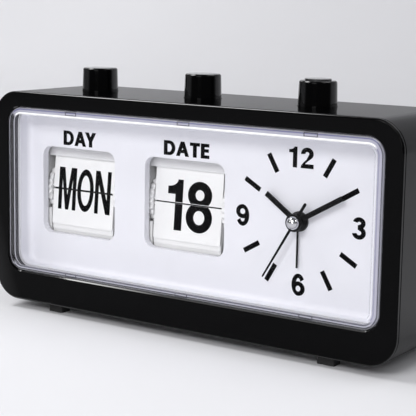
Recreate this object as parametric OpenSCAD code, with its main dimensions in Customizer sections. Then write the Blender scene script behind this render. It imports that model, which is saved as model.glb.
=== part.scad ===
// Desk alarm clock with a split-flap day and date calendar beside an analogue dial.
// Widths run along X, depths along Y from the front face, heights along Z from the table.
// Depths (d) are measured from the front face and heights (h) from the underside of the case.

/* [Case] */
// Width of the case
case_w = 180; // [172:1:190]
// Height of the case without feet and buttons
case_h = 83.6; // [82:0.2:88]
// Depth of the case, front face to back edge
case_d = 52; // [51:0.5:60]
// Corner radius of the front outline
case_r = 11; // [9:0.5:13]
// Wall of the shell
wall = 2.2; // [1.8:0.1:2.6]
// Rounding of the bezel's front edge
front_edge_r = 0.7; // [0.4:0.1:0.7]
// Rounding of the shell's back edge
back_edge_r = 1.9; // [1:0.1:1.9]
// Depth of the bezel's rim that shows at the side
rim_d = 1.4; // [1.4:0.1:2]
// Width of the parting groove behind the rim
groove_w = 0.4; // [0.3:0.1:0.8]
// Depth of the parting groove
groove_depth = 0.6; // [0.3:0.1:0.9]
// Height of the feet
foot_h = 3.5; // [2:0.5:6]
// Width of a foot
foot_w = 6.8; // [5:0.2:10]
// Depth of a foot
foot_d = 5; // [4:0.5:10]
// Distance of the feet from the front and back edges
foot_inset = 3.6; // [3:0.2:8]
// Distance of the feet from the sides
foot_side = 28.5; // [20:0.5:40]

/* [Lens] */
// Width of the bezel beside the opening
bezel_side = 6.8; // [6.5:0.1:8]
// Height of the bezel above the opening
bezel_top = 6.1; // [5.7:0.1:7]
// Corner radius of the opening
open_r = 6.5; // [5.5:0.1:7]
// Height of the opening's lower edge above the underside
open_bottom = 11.9; // [11:0.1:12.4]
// Chamfer round the opening
open_chamfer = 0.4; // [0.2:0.1:0.5]
// Lens face behind the front face
lens_recess = 0.5; // [0.2:0.1:0.8]
// Thickness of the lens
lens_t = 1.5; // [1.2:0.1:1.8]
// Thickness of the lens's side wall
lens_wall = 1.3; // [1:0.1:1.5]
// Depth of the lens's back rim
lens_back = 5.4; // [5:0.1:5.4]
// Gap between lens and bezel
lens_gap = 0.15; // [0.1:0.05:0.25]
// Width of a snap tab on the lens
tab_w = 5.2; // [4:0.1:7]
// First snap tab from the lens's left edge
tab_left = 32.05; // [25:0.05:40]
// Last snap tab from the lens's right edge
tab_right = 28.15; // [25:0.05:40]

/* [Dial] */
// Depth of the dial face
dial_d = 11; // [10.8:0.1:12]
// Thickness of the dial plate
dial_t = 1.6; // [1.4:0.1:1.8]
// Side wall of the dial tray
tray_wall = 1.3; // [1.1:0.1:1.4]
// Hollow rounding between the tray's wall and the dial face
cove_r = 2; // [1.2:0.1:2]
// Dial centre below the middle of the opening
dial_low = 0.5; // [0:0.1:1]
// Radius of the ring of hour marks
dial_r = 26.55; // [25:0.05:28]
// Gap between the hour marks and the tray's right wall
dial_side = 9.65; // [8:0.05:12]

/* [Calendar] */
// Gap between the tray's left wall and the day window
win_side = 7.4; // [6:0.1:9]
// Gap between the day and the date window
win_gap = 14.55; // [13:0.05:16]
// Gap between the date window and the hour marks
win_dial = 5.3; // [5:0.1:7]
// Window left free beside a leaf
leaf_side = 2.8; // [2.7:0.1:3.4]
// Height of a calendar window
win_h = 34.9; // [34:0.1:36]
// Corner radius of a window
win_r = 4; // [3:0.2:5]
// Depth of the window's reveal behind the dial face
reveal_d = 2.9; // [2.4:0.1:2.9]
// Middle of the leaves to the left of their window's middle
leaf_shift = 1.4; // [1:0.1:1.8]
// Number of day leaves, four weeks
day_leaves = 28; // [28]
// Number of date leaves, one month
date_leaves = 31; // [31]
// Leaf height from its pin to its tip
leaf_l = 13.3; // [12.5:0.1:13.4]
// Leaf height past its pin
leaf_over = 0.75; // [0.5:0.05:0.75]
// Thickness of a leaf
leaf_t = 0.18; // [0.14:0.02:0.18]
// Corner radius at a leaf's tip
leaf_r = 0.8; // [0.4:0.1:1.5]
// Radius of a leaf's pins
leaf_pin_r = 0.2; // [0.16:0.02:0.2]
// Radius of the circle of leaf pins
pin_circle_r = 10; // [9.8:0.1:10.1]
// Tilt of the lowest front leaf
leaf_tilt = 4.7; // [3:0.1:5]
// Depth of the leaf pins at the front of the drum
leaf_d = 15.8; // [15.7:0.02:16]
// Lean of the resting leaves out of their drum's rounding
leaf_lean = 5; // [4.5:0.1:5]
// Radius of the drum discs
disc_r = 11.5; // [11.4:0.1:11.6]
// Thickness of a drum disc
disc_t = 2; // [1.6:0.1:2.2]
// Height of the serration on the drum discs
tooth_h = 0.6; // [0.3:0.1:0.6]
// Radius of the drum axles
axle_r = 1.5; // [1:0.1:2]
// Drum axles below the dial centre
axle_drop = 0.65; // [0.6:0.05:0.7]
// Thickness of the frame's cheeks
cheek_t = 1.6; // [1.4:0.1:1.8]
// Running clearance of an axle in its bore
run_gap = 0.05; // [0.03:0.01:0.08]

/* [Buttons] */
// Radius of a button at its foot
button_r = 7.1; // [6:0.1:7.6]
// Height of a button above the case
button_h = 9.3; // [7:0.1:11]
// Narrowing of a button from foot to top
button_taper = 0.25; // [0:0.05:0.5]
// Rounding of a button's top edge
button_round = 0.9; // [0.5:0.1:1.5]
// Travel of a button
button_travel = 2.2; // [2:0.05:2.2]
// Clearance of a button in its hole
button_gap = 0.25; // [0.2:0.05:0.4]
// Day button to the right of its drum's middle
button_in = 0.15; // [0:0.05:0.5]
// Alarm button to the left of the dial centre
alarm_in = 2.75; // [2:0.05:4]
// Radius of the disc on the alarm button
cap_disc_r = 4.8; // [3:0.1:5.4]
// Height of the disc on the alarm button
cap_disc_h = 0.6; // [0.3:0.1:1]

/* [Hands] */
// Length of the hour hand
hour_l = 15.6; // [12:0.1:18]
// Length of the minute hand
minute_l = 20.7; // [18:0.1:22]
// Length of the second hand
second_l = 24.5; // [20:0.1:25]
// Tail of the second hand
second_tail = 8.2; // [5:0.1:9]
// Length of the alarm hand
alarm_l = 16.6; // [12:0.1:18]
// Width of the hour and minute hands
hand_w = 1.85; // [1.4:0.05:2.4]
// Width of the second and alarm hands
thin_w = 0.65; // [0.5:0.05:0.9]
// Radius of the hands' bosses
boss_r = 3.2; // [2.9:0.1:3.6]
// Radius of the ball cap
cap_r = 2.6; // [2:0.1:3]
// Angle of the hour hand at rest, clockwise from twelve
hour_angle = 305; // [0:1:360]
// Angle of the minute hand at rest
minute_angle = 60.6; // [0:0.2:360]
// Angle of the second hand at rest
second_angle = 211; // [0:1:360]
// Angle of the alarm hand at rest
alarm_angle = 180; // [0:1:360]

/* [Movement] */
// Gap between the quartz movement and the date frame
move_side = 0.45; // [0.3:0.05:1.5]
// Room between the quartz movement and the alarm button
move_head = 9.5; // [9.2:0.1:11]
// Depth of the quartz movement
move_d = 15; // [13:0.5:15.5]
// Side offset of the setting knobs from the dial centre
knob_x = 13; // [11:0.2:15]
// Height of the setting knobs above the dial centre
knob_up = 14; // [13:0.2:15]
// Radius of a setting knob
knob_r = 5.4; // [4:0.1:5.8]
// Radius of a setting knob's shaft
stem_r = 1.5; // [1.2:0.1:1.6]

/* [Battery] */
// Radius of the cell
cell_r = 7.25; // [7.25]
// Length of the cell without its nub
cell_l = 49.2; // [49.2]
// Gap between the cell's tray and the date drum's axle
cell_side = 3.15; // [1:0.05:4]
// Height of the cell below the dial centre
cell_down = 15; // [14:0.2:15.5]
// Wall of the cell's tray
tray_t = 1.4; // [1.2:0.1:1.6]

/* [Hidden] */
$fn = 64;

// Clearances
touch = 0.02;
slip = 0.3;
seat_gap = 0.2;
// Overrun of a cut past a face, and lap of two forms of one piece
past = 1;
lap = 1;

// Outlines as [left, right, bottom, top]
case_box = [-case_w / 2, case_w / 2, 0, case_h];
open_box = [case_box[0] + bezel_side, case_box[1] - bezel_side, open_bottom, case_h - bezel_top];
lens_box = inset(open_box, lens_gap);
tray_box = inset(open_box, slip);
dial_box = inset(tray_box, tray_wall);
shell_d = rim_d + groove_w;
inner_top = case_h - wall;
skirt_t = 1.5;
skirt_d = 8;
skirt_gap = 0.15;
tunnel_t = 1.6;
tunnel_gap = 0.4;
plate_t = 0.8;
shell_edge_r = 0.4;
lens_edge_r = 0.6;
pocket_front = 0.3;
foot_r = 0.5;
tray_front = lens_back + seat_gap;
dial_back = dial_d + dial_t;
tunnel_d = dial_d - tunnel_gap;
plate_d = shell_d + plate_t;

// Dial at the right, the two windows share the room that is left
dial_x = dial_box[1] - dial_side - dial_r;
dial_h = (open_box[2] + open_box[3]) / 2 - dial_low;
win_x0 = dial_box[0] + win_side;
win_x1 = dial_x - dial_r - win_dial;
win_w = (win_x1 - win_x0 - win_gap) / 2;
day_x = win_x0 + win_w / 2;
date_x = win_x1 - win_w / 2;
leaf_w = win_w - 2 * leaf_side;
foot_x = case_w / 2 - foot_side;

// Rear cover
cover_t = 2.4;
cover_sink = 0.4;
cover_d1 = case_d - cover_sink;
cover_d0 = cover_d1 - cover_t;
cover_box = inset(case_box, wall + seat_gap);
post_r = 3.2;
post_inset = case_r;
post_l = 14;
rib_t = 1.6;
rib_root = 0.5;
bore_floor = 2;
post_d0 = cover_d0 - post_l;
screw_r = 1.3;
screw_head_r = 2.6;
screw_head_t = 1.1;
screw_l = 9;
screw_play = 0.2;
screw_sink = 0.1;
posts = [for (x = [-1, 1], h = [post_inset, case_h - post_inset]) [x * (case_w / 2 - post_inset), h]];

// Calendar drums
drum_d = leaf_d + pin_circle_r;
axle_h = dial_h - axle_drop;
leaf_gap = 0.4;
disc_x = leaf_w / 2 + leaf_gap;
cheek_x = disc_x + disc_t + leaf_gap;
cheek_out = cheek_x + cheek_t;
pin_play = 0.08;
pin_hole_r = leaf_pin_r + pin_play;
hub_r = 4;
hub_lap = 0.5;
reveal_t = 1.2;
wheel_x0 = win_w / 2 + leaf_shift + reveal_t + slip;
wheel_t = 1.8;
wheel_hub_r = 3.2;
wheel_lap = 0.2;
ratchet_depth = 1;
finger_t = 1.3;
finger_gap = 0.25;
nose_gap = 0.15;
nose_t = 0.7;
nose_reach = 0.6;
pawl_side = 0.1;
fan_r = sqrt(pow(pin_circle_r, 2) + pow(leaf_l, 2) + 2 * pin_circle_r * leaf_l * sin(leaf_lean)) + leaf_t;
first_pin = 0.8;
pin_end = 0.2;
pin_lap = 0.3;
arm_t = 1.8;
arm_half = 2.2;
arm_end = 2.4;
arm_h0 = axle_h + fan_r + button_travel + slip;
arm_h1 = arm_h0 + arm_t;
bridge_h0 = arm_h1 + slip;
bridge_t = 2;
bridge_h1 = bridge_h0 + bridge_t;
guide_l = 3;
guide_wall = 2.2;
guide_h1 = bridge_h1 + guide_l;
tie_t = 2.2;
tie_half = 6;
tie_gap = 0.6;
tie_h1 = axle_h - pin_circle_r - leaf_l - slip - tie_gap;
tie_h0 = tie_h1 - tie_t;
lip_t = 0.25;
lip_up = 13.1;
lip_behind = 0.5;
lip_side = 0.2;
lip_h0 = dial_h + lip_up;
lip_d = leaf_d + lip_behind;
pad_h = 4;
pad_w = 4.2;
pad_hole_x = 2.2;
pad_gap = 0.5;
axle_end = 0.4;
axle_stub = 0.6;
pad_h0 = dial_h + win_h / 2 + reveal_t + pad_gap;
pad_low = dial_h - win_h / 2 - reveal_t - pad_gap;
block_drop = 8.2;
block_front = 1.1;
block_back = 1;
block_lap = 0.1;
block_top = dial_h - block_drop;
detent_t = 0.3;
detent_nose = 0.65;
detent_rise = 0.7;
detent_up = 4;
detent_side = 0.2;
detent_gap = 0.15;

// Buttons, evenly spaced from the day drum to the dial
button_x = mod_x(day_x) + button_in;
button_pitch = (dial_x - alarm_in - button_x) / 2;
button_xs = [button_x, button_x + button_pitch, button_x + 2 * button_pitch];
button_hole_r = button_r + button_gap;
collar_w = 1.5;
collar_r = button_r + collar_w;
collar_t = 1.4;
collar_h0 = inner_top - slip - collar_t;
push_r = 2.5;
button_d = case_d / 2;
wire_r = 0.35;
spring_in = 0.8;
spring_turns = 5;
disc_sink = 0.6;
alarm_push_r = 1.5;
alarm_spring_in = 1;
alarm_turns = 3;
guide_plate_t = 1.4;
switch_h = 3;
switch_w = 6;
switch_floor = 0.2;
switch_play = 0.2;
switch_gap = 0.4;
move_h = 2 * (collar_h0 - move_head - dial_h);
move_top = dial_h + move_h / 2;
guide_plate_h0 = move_top + switch_h + switch_gap;
guide_leg_t = 1.6;
guide_leg_x = 8;
guide_front = 7;
guide_back = 4;
guide_leg_d = 8;
guide_leg_lap = 0.1;

// Hands, from the dial outwards
nut_t = 0.7;
nut_w = 0.7;
neck_r = 2.9;
neck_gap = 0.15;
hand_gap = 0.35;
second_gap = 0.4;
level_alarm = dial_d - nut_t - slip;
alarm_t = 0.4;
level_hour = level_alarm - alarm_t - hand_gap;
hand_t = 0.5;
level_minute = level_hour - hand_t - hand_gap;
level_second = level_minute - hand_t - second_gap;
second_t = 0.25;
cap_out = 0.3;
cap_bore = 1;
staff_out = 0.8;
pipe_r = [0.5, 0.95, 1.45, 2];
pipe_l = 6;
pipe_step = 0.5;
pipe_d = dial_back + pipe_l;

// Movement and knobs
move_w = 2 * (dial_x - mod_x(date_x) - cheek_out - pad_w - move_side);
move_r = 4;
move_back = dial_back + move_d;
shaft_bore = 4;
knob_h = 4.2;
knob_sink = 0.6;
knob_flutes = 24;
knob_flute = 0.35;
knob_bore = 3;
shaft_in = 2.9;
well_floor_d = cover_d1 - knob_h - knob_sink;
well_t = 1.6;
well_r = 4;
well_margin = 1.2;
knob_d0 = well_floor_d + slip;
knob_z = dial_h + knob_up;

// Cell
cell_spring_l = 4;
cell_spring_r = 4;
cell_turns = 2;
cell_x = mod_x(date_x) + wheel_x0 + wheel_t + axle_end + cell_side + tray_t + cell_spring_l + cell_l / 2;
cell_h = dial_h - cell_down;
cell_d = move_back + tray_t + slip + cell_r;
nub_r = 2.75;
nub_l = 1.3;
nub_lap = 0.5;
cell_x0 = cell_x - cell_l / 2;
contact_t = 0.4;
contact_gap = 0.2;
contact_half = 5;
bay_gap = 0.6;
bay_x0 = cell_x0 - cell_spring_l;
bay_x1 = cell_x0 + cell_l + nub_l + contact_t + contact_gap;
bay_half = cell_r + slip;
bay_d1 = cover_d0 - bay_gap;
door_gap = 0.3;
door_t = 1.8;
door_in = 0.4;
door_x0 = bay_x0 + door_in;
door_x1 = bay_x1 - door_in;
door_h0 = cell_h - bay_half;
door_h1 = cell_h + bay_half;
hinge_d = cover_d1 - door_t / 2;
hinge_h = door_h0 + door_t / 2;
hinge_r = 0.65;
hinge_pin_l = 1.5;
notch_w = 10;
notch_r = 1.4;
notch_up = 0.6;
notch_in = 2.4;
grip_r = 0.35;
grip_first = 2.4;
grip_step = 1.4;

// Frame against the dial plate
cheek_front = dial_d + reveal_d + slip;
cheek_cut = 4;
cheek_heel = 3;
bridge_l = 9;
slot_half = 3.4;
slot_play = 0.2;
bridge_back = drum_d + bridge_l;
detent_d = drum_d + disc_r + detent_gap;
pad_t = 2;
pad_d1 = cheek_front + pad_t;
frame_screw_r = 0.8;
frame_screw_play = 0.1;
frame_head_r = 1.5;
frame_head_t = 1;
frame_tip = 0.6;
frame_floor = 0.4;
back_over = 0.4;
// Screw spots of a frame: offset, height, left and right end of the pad
pad_spots = [
    [-cheek_out - pad_hole_x, pad_h0 + pad_h / 2, -cheek_out - pad_w, -cheek_x],
    [-cheek_out - pad_hole_x, pad_low - pad_h / 2, -cheek_out - pad_w, -cheek_x],
    [cheek_out + pad_hole_x, pad_low - pad_h / 2, cheek_x, cheek_out + pad_w]];

// Snap tabs of the lens
tab_h = 0.9;
tab_d1 = 4;
tab_x0 = lens_box[0] + tab_left;
tab_x1 = lens_box[1] - tab_right;
tab_x = [tab_x0, (tab_x0 + tab_x1) / 2, tab_x1];

// Well of the setting knobs
well_box = [dial_x - knob_x - knob_r - well_margin, dial_x + knob_x + knob_r + well_margin,
    knob_z - knob_r - well_margin, knob_z + knob_r + well_margin];

// Buzzer
buzzer_x = (mod_x(day_x) + mod_x(date_x)) / 2;
buzzer_r = 12;
buzzer_t = 3;
buzzer_wall = 1.4;
buzzer_hole_r = 1.5;
sound_hole_r = 1.1;
sound_ring_r = 5;

function inset(b, e) = [b[0] + e, b[1] - e, b[2] + e, b[3] - e];
function Y(d) = d - case_d / 2;
function Z(h) = h + foot_h;
function pitch(n) = 360 / n;
function mod_x(x) = x - leaf_shift;
function win_box(x) = [x - win_w / 2, x + win_w / 2, dial_h - win_h / 2, dial_h + win_h / 2];
function ratchet_r(n) = button_travel / (pitch(n) * PI / 180);
function polar(r, a) = [-r * cos(a), r * sin(a)];
// Serrated rim with a gap at the back of the drum
function serration(n) = [for (i = [0:n - 1], half = [0, 1])
    polar(half == 0 ? disc_r - tooth_h : disc_r, 180 + (i + half / 2) * pitch(n))];
// Ratchet teeth whose steep faces look up at the front
function saw_teeth(n, r) = [for (i = [0:n - 1], side = [0, 1])
    polar(side == 0 ? r + ratchet_depth / 2 : r - ratchet_depth / 2, (i + 0.5) * pitch(n))];
// Direction of a resting leaf: a fan over the top, hanging below
function leaf_turn(a) = a < 180 ? leaf_lean - a : 180 - leaf_tilt * max(0, (a - 270) / 90);

module prism(d0, d1) {
    translate([0, Y(d1), Z(0)]) rotate([90, 0, 0]) linear_extrude(d1 - d0) children();
}

module slice_x(x0, x1, d, h) {
    translate([x0, Y(d), Z(h)]) rotate([90, 0, 90]) linear_extrude(x1 - x0) children();
}

module rod_x(x0, x1, d, h, r) {
    translate([x0, Y(d), Z(h)]) rotate([0, 90, 0]) cylinder(r = r, h = x1 - x0);
}

module rod_y(x, h, r, d0, d1) {
    translate([x, Y(d0), Z(h)]) rotate([-90, 0, 0]) cylinder(r = r, h = d1 - d0);
}

module rod_z(x, d, h0, h1, r) {
    translate([x, Y(d), Z(h0)]) cylinder(r = r, h = h1 - h0);
}

module block(x0, x1, d0, d1, h0, h1) {
    translate([x0, Y(d0), Z(h0)]) cube([x1 - x0, d1 - d0, h1 - h0]);
}

module rrect(b, r) {
    translate([b[0] + r, b[2]]) square([b[1] - b[0] - 2 * r, b[3] - b[2]]);
    translate([b[0], b[2] + r]) square([b[1] - b[0], b[3] - b[2] - 2 * r]);
    for (x = [b[0] + r, b[1] - r], h = [b[2] + r, b[3] - r]) translate([x, h]) circle(r);
}

// Half of a slab's section, w across and t deep, its outer corners rounded
module half_section(w, t, e0, e1) {
    difference() {
        square([w, t]);
        if (e0 > 0) difference() {
            translate([w - e0, -1]) square([e0 + 1, e0 + 1]);
            translate([w - e0, e0]) circle(e0);
        }
        if (e1 > 0) difference() {
            translate([w - e1, t - e1]) square([e1 + 1, e1 + 1]);
            translate([w - e1, t - e1]) circle(e1);
        }
    }
}

// Slab with rounded corners and with rounded front and back edges
module soft_slab(b, r, d0, d1, e0, e1) {
    t = d1 - d0;
    for (x = [b[0] + r, b[1] - r], h = [b[2] + r, b[3] - r])
        translate([x, Y(d0), Z(h)]) rotate([-90, 0, 0]) rotate_extrude() half_section(r, t, e0, e1);
    for (top = [0, 1]) translate([b[0] + r, Y(d0), Z(top == 0 ? b[2] + r : b[3] - r)])
        mirror([0, 0, 1 - top]) rotate([90, 0, 90]) linear_extrude(b[1] - b[0] - 2 * r)
            mirror([1, -1, 0]) half_section(r, t, e0, e1);
    for (right = [0, 1]) translate([right == 0 ? b[0] + r : b[1] - r, Y(d0), Z(b[2] + r)])
        mirror([1 - right, 0, 0]) linear_extrude(b[3] - b[2] - 2 * r) half_section(r, t, e0, e1);
    block(b[0] + r, b[1] - r, d0, d1, b[2] + r, b[3] - r);
}

// Flared mouth that chamfers an opening's front edge
module chamfer_ring(b, r, d, e) {
    for (x = [b[0] + r, b[1] - r], h = [b[2] + r, b[3] - r])
        translate([x, Y(d), Z(h)]) rotate([-90, 0, 0]) cylinder(r1 = r + e, r2 = r, h = e);
    for (h = [b[2], b[3]])
        slice_x(b[0] + r, b[1] - r, d, h) polygon([[0, -e], [0, e], [e, 0]]);
    for (x = [b[0], b[1]])
        translate([x, Y(d), Z(b[2] + r)]) linear_extrude(b[3] - b[2] - 2 * r)
            polygon([[-e, 0], [e, 0], [0, e]]);
}

module front_bezel() {
    skirt = inset(case_box, wall + skirt_gap);
    color([0.03, 0.03, 0.035]) difference() {
        union() {
            soft_slab(case_box, case_r, 0, rim_d, front_edge_r, 0);
            prism(rim_d, shell_d) rrect(inset(case_box, groove_depth), case_r - groove_depth);
            prism(shell_d, plate_d) rrect(skirt, case_r - wall);
            prism(plate_d, skirt_d) difference() {
                rrect(skirt, case_r - wall);
                rrect(inset(skirt, skirt_t), case_r - wall - skirt_t);
            }
            prism(plate_d, tunnel_d) rrect(inset(open_box, -tunnel_t), open_r + tunnel_t);
        }
        prism(-past, tunnel_d + past) rrect(open_box, open_r);
        chamfer_ring(open_box, open_r, 0, open_chamfer);
        snap_tabs(tab_w + 2 * lens_gap, tab_h + lens_gap, lens_recess + pocket_front);
    }
}

// Snap tabs on the lens rim, three above and three below
module snap_tabs(w, up, d0) {
    for (x = tab_x) {
        block(x - w / 2, x + w / 2, d0, tab_d1, lens_box[3] - lap, lens_box[3] + up);
        block(x - w / 2, x + w / 2, d0, tab_d1, lens_box[2] - up, lens_box[2] + lap);
    }
}

module lens() {
    color([0.85, 0.9, 0.92, 0.25]) difference() {
        union() {
            soft_slab(lens_box, open_r, lens_recess, lens_back, lens_edge_r, 0);
            snap_tabs(tab_w, tab_h, lens_recess + lens_edge_r);
        }
        prism(lens_recess + lens_t, lens_back + past) rrect(inset(lens_box, lens_wall), open_r - lens_wall);
    }
}

module case_shell() {
    inner = inset(case_box, wall);
    color([0.03, 0.03, 0.035]) difference() {
        union() {
            difference() {
                soft_slab(case_box, case_r, shell_d, case_d, shell_edge_r, back_edge_r);
                prism(shell_d - past, case_d + past) rrect(inner, case_r - wall);
            }
            for (p = posts) {
                rod_y(p[0], p[1], post_r, post_d0, cover_d0);
                rib_x0 = p[0] > 0 ? p[0] : inner[0] - rib_root;
                rib_x1 = p[0] > 0 ? inner[1] + rib_root : p[0];
                block(rib_x0, rib_x1, post_d0, cover_d0, p[1] - rib_t / 2, p[1] + rib_t / 2);
            }
        }
        for (x = button_xs) rod_z(x, button_d, inner_top - past, case_h + past, button_hole_r);
        for (p = posts) rod_y(p[0], p[1], screw_r + touch, post_d0 + bore_floor, cover_d0 + past);
    }
}

module rear_cover() {
    color([0.035, 0.035, 0.04]) difference() {
        union() {
            prism(cover_d0, cover_d1) rrect(cover_box, case_r - wall - seat_gap);
            prism(well_floor_d - well_t, cover_d1) rrect(inset(well_box, -well_t), well_r + well_t);
            prism(cover_d0 - buzzer_t, cover_d0) translate([buzzer_x, dial_h]) difference() {
                circle(buzzer_r + seat_gap + buzzer_wall);
                circle(buzzer_r + seat_gap);
            }
        }
        prism(well_floor_d, cover_d1 + past) rrect(well_box, well_r);
        for (x = [-knob_x, knob_x])
            rod_y(dial_x + x, knob_z, stem_r + slip, well_floor_d - well_t - past, cover_d1);
        block(door_x0 - door_gap, door_x1 + door_gap, cover_d0 - past, cover_d1 + past,
            door_h0 - door_gap, door_h1 + door_gap);
        rod_x(door_x0 - hinge_pin_l - door_gap, door_x1 + hinge_pin_l + door_gap, hinge_d, hinge_h,
            hinge_r + run_gap);
        for (p = posts) {
            rod_y(p[0], p[1], screw_r + screw_play, cover_d0 - past, cover_d1 + past);
            rod_y(p[0], p[1], screw_head_r + screw_play, cover_d1 - screw_head_t - screw_sink,
                cover_d1 + past);
        }
        rod_y(buzzer_x, dial_h, sound_hole_r, cover_d0 - past, cover_d1 + past);
        for (a = [0:60:300])
            rod_y(buzzer_x + sound_ring_r * cos(a), dial_h + sound_ring_r * sin(a), sound_hole_r,
                cover_d0 - past, cover_d1 + past);
    }
}

module dial_plate() {
    color([0.93, 0.93, 0.95]) difference() {
        union() {
            prism(tray_front, dial_back) rrect(tray_box, open_r);
            for (x = [day_x, date_x])
                prism(dial_back, dial_d + reveal_d) rrect(inset(win_box(x), -reveal_t), win_r + reveal_t);
        }
        soft_slab(dial_box, open_r - tray_wall, tray_front - past, dial_d, 0, cove_r);
        for (x = [day_x, date_x]) prism(dial_d - past, dial_d + reveal_d + past) rrect(win_box(x), win_r);
        rod_y(dial_x, dial_h, neck_r + neck_gap, dial_d - past, dial_back + past);
        for (m = [mod_x(day_x), mod_x(date_x)], p = pad_spots)
            rod_y(m + p[0], p[1], frame_screw_r + touch, dial_d + frame_floor, dial_back + past);
    }
}

module cal_frame(m, bx) {
    color([0.86, 0.86, 0.84]) difference() {
        union() {
            for (x = [m - cheek_out, m + cheek_x]) {
                slice_x(x, x + cheek_t, drum_d, 0) cheek_outline();
            }
            block(m - cheek_out, m + cheek_out, lip_d, bridge_back, bridge_h0, bridge_h1);
            rod_z(bx, button_d, bridge_h1, guide_h1, push_r + guide_wall);
            block(m - cheek_out, m + cheek_out, drum_d - tie_half, drum_d + tie_half, tie_h0, tie_h1);
            block(m - disc_x - disc_t, m - disc_x, drum_d + tie_half - lap, detent_d, tie_h0, tie_h1);
            block(m - cheek_x - block_lap, m - disc_x, leaf_d - block_front, leaf_d + block_back,
                tie_h1, block_top);
            for (p = pad_spots) pad(m, p);
            block(m + cheek_x, m + cheek_out, dial_back, cheek_front + lap, pad_h0, bridge_h1);
        }
        rod_x(m - cheek_out - past, m + cheek_out + past, drum_d, axle_h, axle_r + run_gap);
        rod_z(bx, button_d, bridge_h0 - past, guide_h1 + past, push_r + run_gap);
        block(m + cheek_x - past, m + cheek_out + past, button_d - slot_half, button_d + slot_half,
            arm_h0 - button_travel - slip - slot_play, bridge_h0);
        for (p = pad_spots)
            rod_y(m + p[0], p[1], frame_screw_r + frame_screw_play, dial_back - past, pad_d1 + past);
    }
}

// Side view of a cheek about the drum axis, heights from the underside
module cheek_outline() {
    f = cheek_front - drum_d;
    b = bridge_back - drum_d;
    polygon([[f, tie_h0 + cheek_cut], [f + cheek_cut, tie_h0], [b - cheek_heel, tie_h0],
        [b, tie_h0 + cheek_heel], [b, bridge_h1], [f, bridge_h1]]);
}

// Foot of a frame against the dial plate
module pad(m, p) {
    block(m + p[2], m + p[3], dial_back, pad_d1, p[1] - pad_h / 2, p[1] + pad_h / 2);
}

module cal_axle(m) {
    color([0.7, 0.7, 0.72])
        rod_x(m - cheek_out - axle_stub, m + wheel_x0 + wheel_t + axle_end, drum_d, axle_h, axle_r);
}

module cal_drum(m, n) {
    color([0.8, 0.8, 0.78]) difference() {
        union() {
            for (x = [m - disc_x - disc_t, m + disc_x])
                slice_x(x, x + disc_t, drum_d, axle_h) polygon(serration(n));
            rod_x(m - disc_x - hub_lap, m + disc_x + hub_lap, drum_d, axle_h, hub_r);
        }
        rod_x(m - cheek_x, m + cheek_x, drum_d, axle_h, axle_r + touch);
        for (i = [0:n - 1]) {
            p = polar(pin_circle_r, (i + first_pin) * pitch(n));
            rod_x(m - cheek_x, m + cheek_x, drum_d + p[0], axle_h + p[1], pin_hole_r);
        }
    }
}

module cal_ratchet(m, n) {
    color([0.75, 0.65, 0.4]) difference() {
        union() {
            slice_x(m + wheel_x0, m + wheel_x0 + wheel_t, drum_d, axle_h) polygon(saw_teeth(n, ratchet_r(n)));
            rod_x(m + cheek_out + slip, m + wheel_x0 + wheel_lap, drum_d, axle_h, wheel_hub_r);
        }
        rod_x(m, m + wheel_x0 + wheel_t + past, drum_d, axle_h, axle_r + touch);
    }
}

// One leaf with its two pins, hung on the drum at angle a
module leaf(m, a, turn, over) {
    p = polar(pin_circle_r, a);
    translate([m, Y(drum_d + p[0]), Z(axle_h + p[1])]) rotate([turn, 0, 0]) {
        translate([0, leaf_t / 2, 0]) rotate([90, 0, 0]) linear_extrude(leaf_t) leaf_outline(over);
        for (s = [-1, 1]) translate([s * (leaf_w / 2 - pin_lap), 0, 0]) rotate([0, s * 90, 0])
            cylinder(r = leaf_pin_r, h = pin_lap + leaf_gap + disc_t - pin_end);
    }
}

module leaf_outline(over) {
    half = leaf_w / 2;
    translate([-half, -over]) square([leaf_w, leaf_l + over - leaf_r]);
    translate([leaf_r - half, -over]) square([leaf_w - 2 * leaf_r, leaf_l + over]);
    for (x = [leaf_r - half, half - leaf_r]) translate([x, leaf_l - leaf_r]) circle(leaf_r);
}

module leaf_pack(m, n) {
    color([0.95, 0.95, 0.93]) for (k = [1:n - 1]) {
        a = (k + first_pin) * pitch(n);
        leaf(m, a, leaf_turn(a), k == n - 1 ? leaf_over : back_over);
    }
}

module flip_leaf(m, n) {
    color([0.97, 0.97, 0.95]) leaf(m, first_pin * pitch(n), leaf_turn(first_pin * pitch(n)), leaf_over);
}

module leaf_lip(m) {
    color([0.8, 0.8, 0.8])
        block(m - cheek_x + lip_side, m + cheek_x - lip_side, lip_d - lip_t, lip_d, lip_h0, bridge_h1);
}

module cal_detent(m) {
    x0 = m - disc_x - disc_t + detent_side;
    color([0.7, 0.7, 0.72]) slice_x(x0, x0 + disc_t - 2 * detent_side, detent_d, axle_h)
        polygon([[0, tie_h0 - axle_h], [detent_t, tie_h0 - axle_h], [detent_t, detent_up], [0, detent_up],
            [0, detent_rise], [-detent_nose, 0], [0, -detent_rise]]);
}

// Button cap with a rounded top edge and a collar below the case's top wall
module push_button(x) {
    top = case_h + button_h;
    r1 = button_r - button_taper;
    translate([x, Y(button_d), Z(0)]) rotate_extrude() {
        polygon([[0, collar_h0], [collar_r, collar_h0], [collar_r, collar_h0 + collar_t],
            [button_r, collar_h0 + collar_t], [button_r, case_h], [r1, top - button_round],
            [r1 - button_round, top], [0, top]]);
        intersection() {
            translate([r1 - button_round, top - button_round]) circle(button_round);
            translate([0, top - button_round]) square([2 * button_r, button_round]);
        }
    }
}

module alarm_cap() {
    x = button_xs[2];
    top = case_h + button_h;
    difference() {
        push_button(x);
        rod_z(x, button_d, top - disc_sink, top + past, cap_disc_r + touch);
    }
}

module alarm_button_disc() {
    top = case_h + button_h;
    color([0.2, 0.2, 0.21])
        rod_z(button_xs[2], button_d, top - disc_sink, top + cap_disc_h, cap_disc_r);
}

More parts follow.
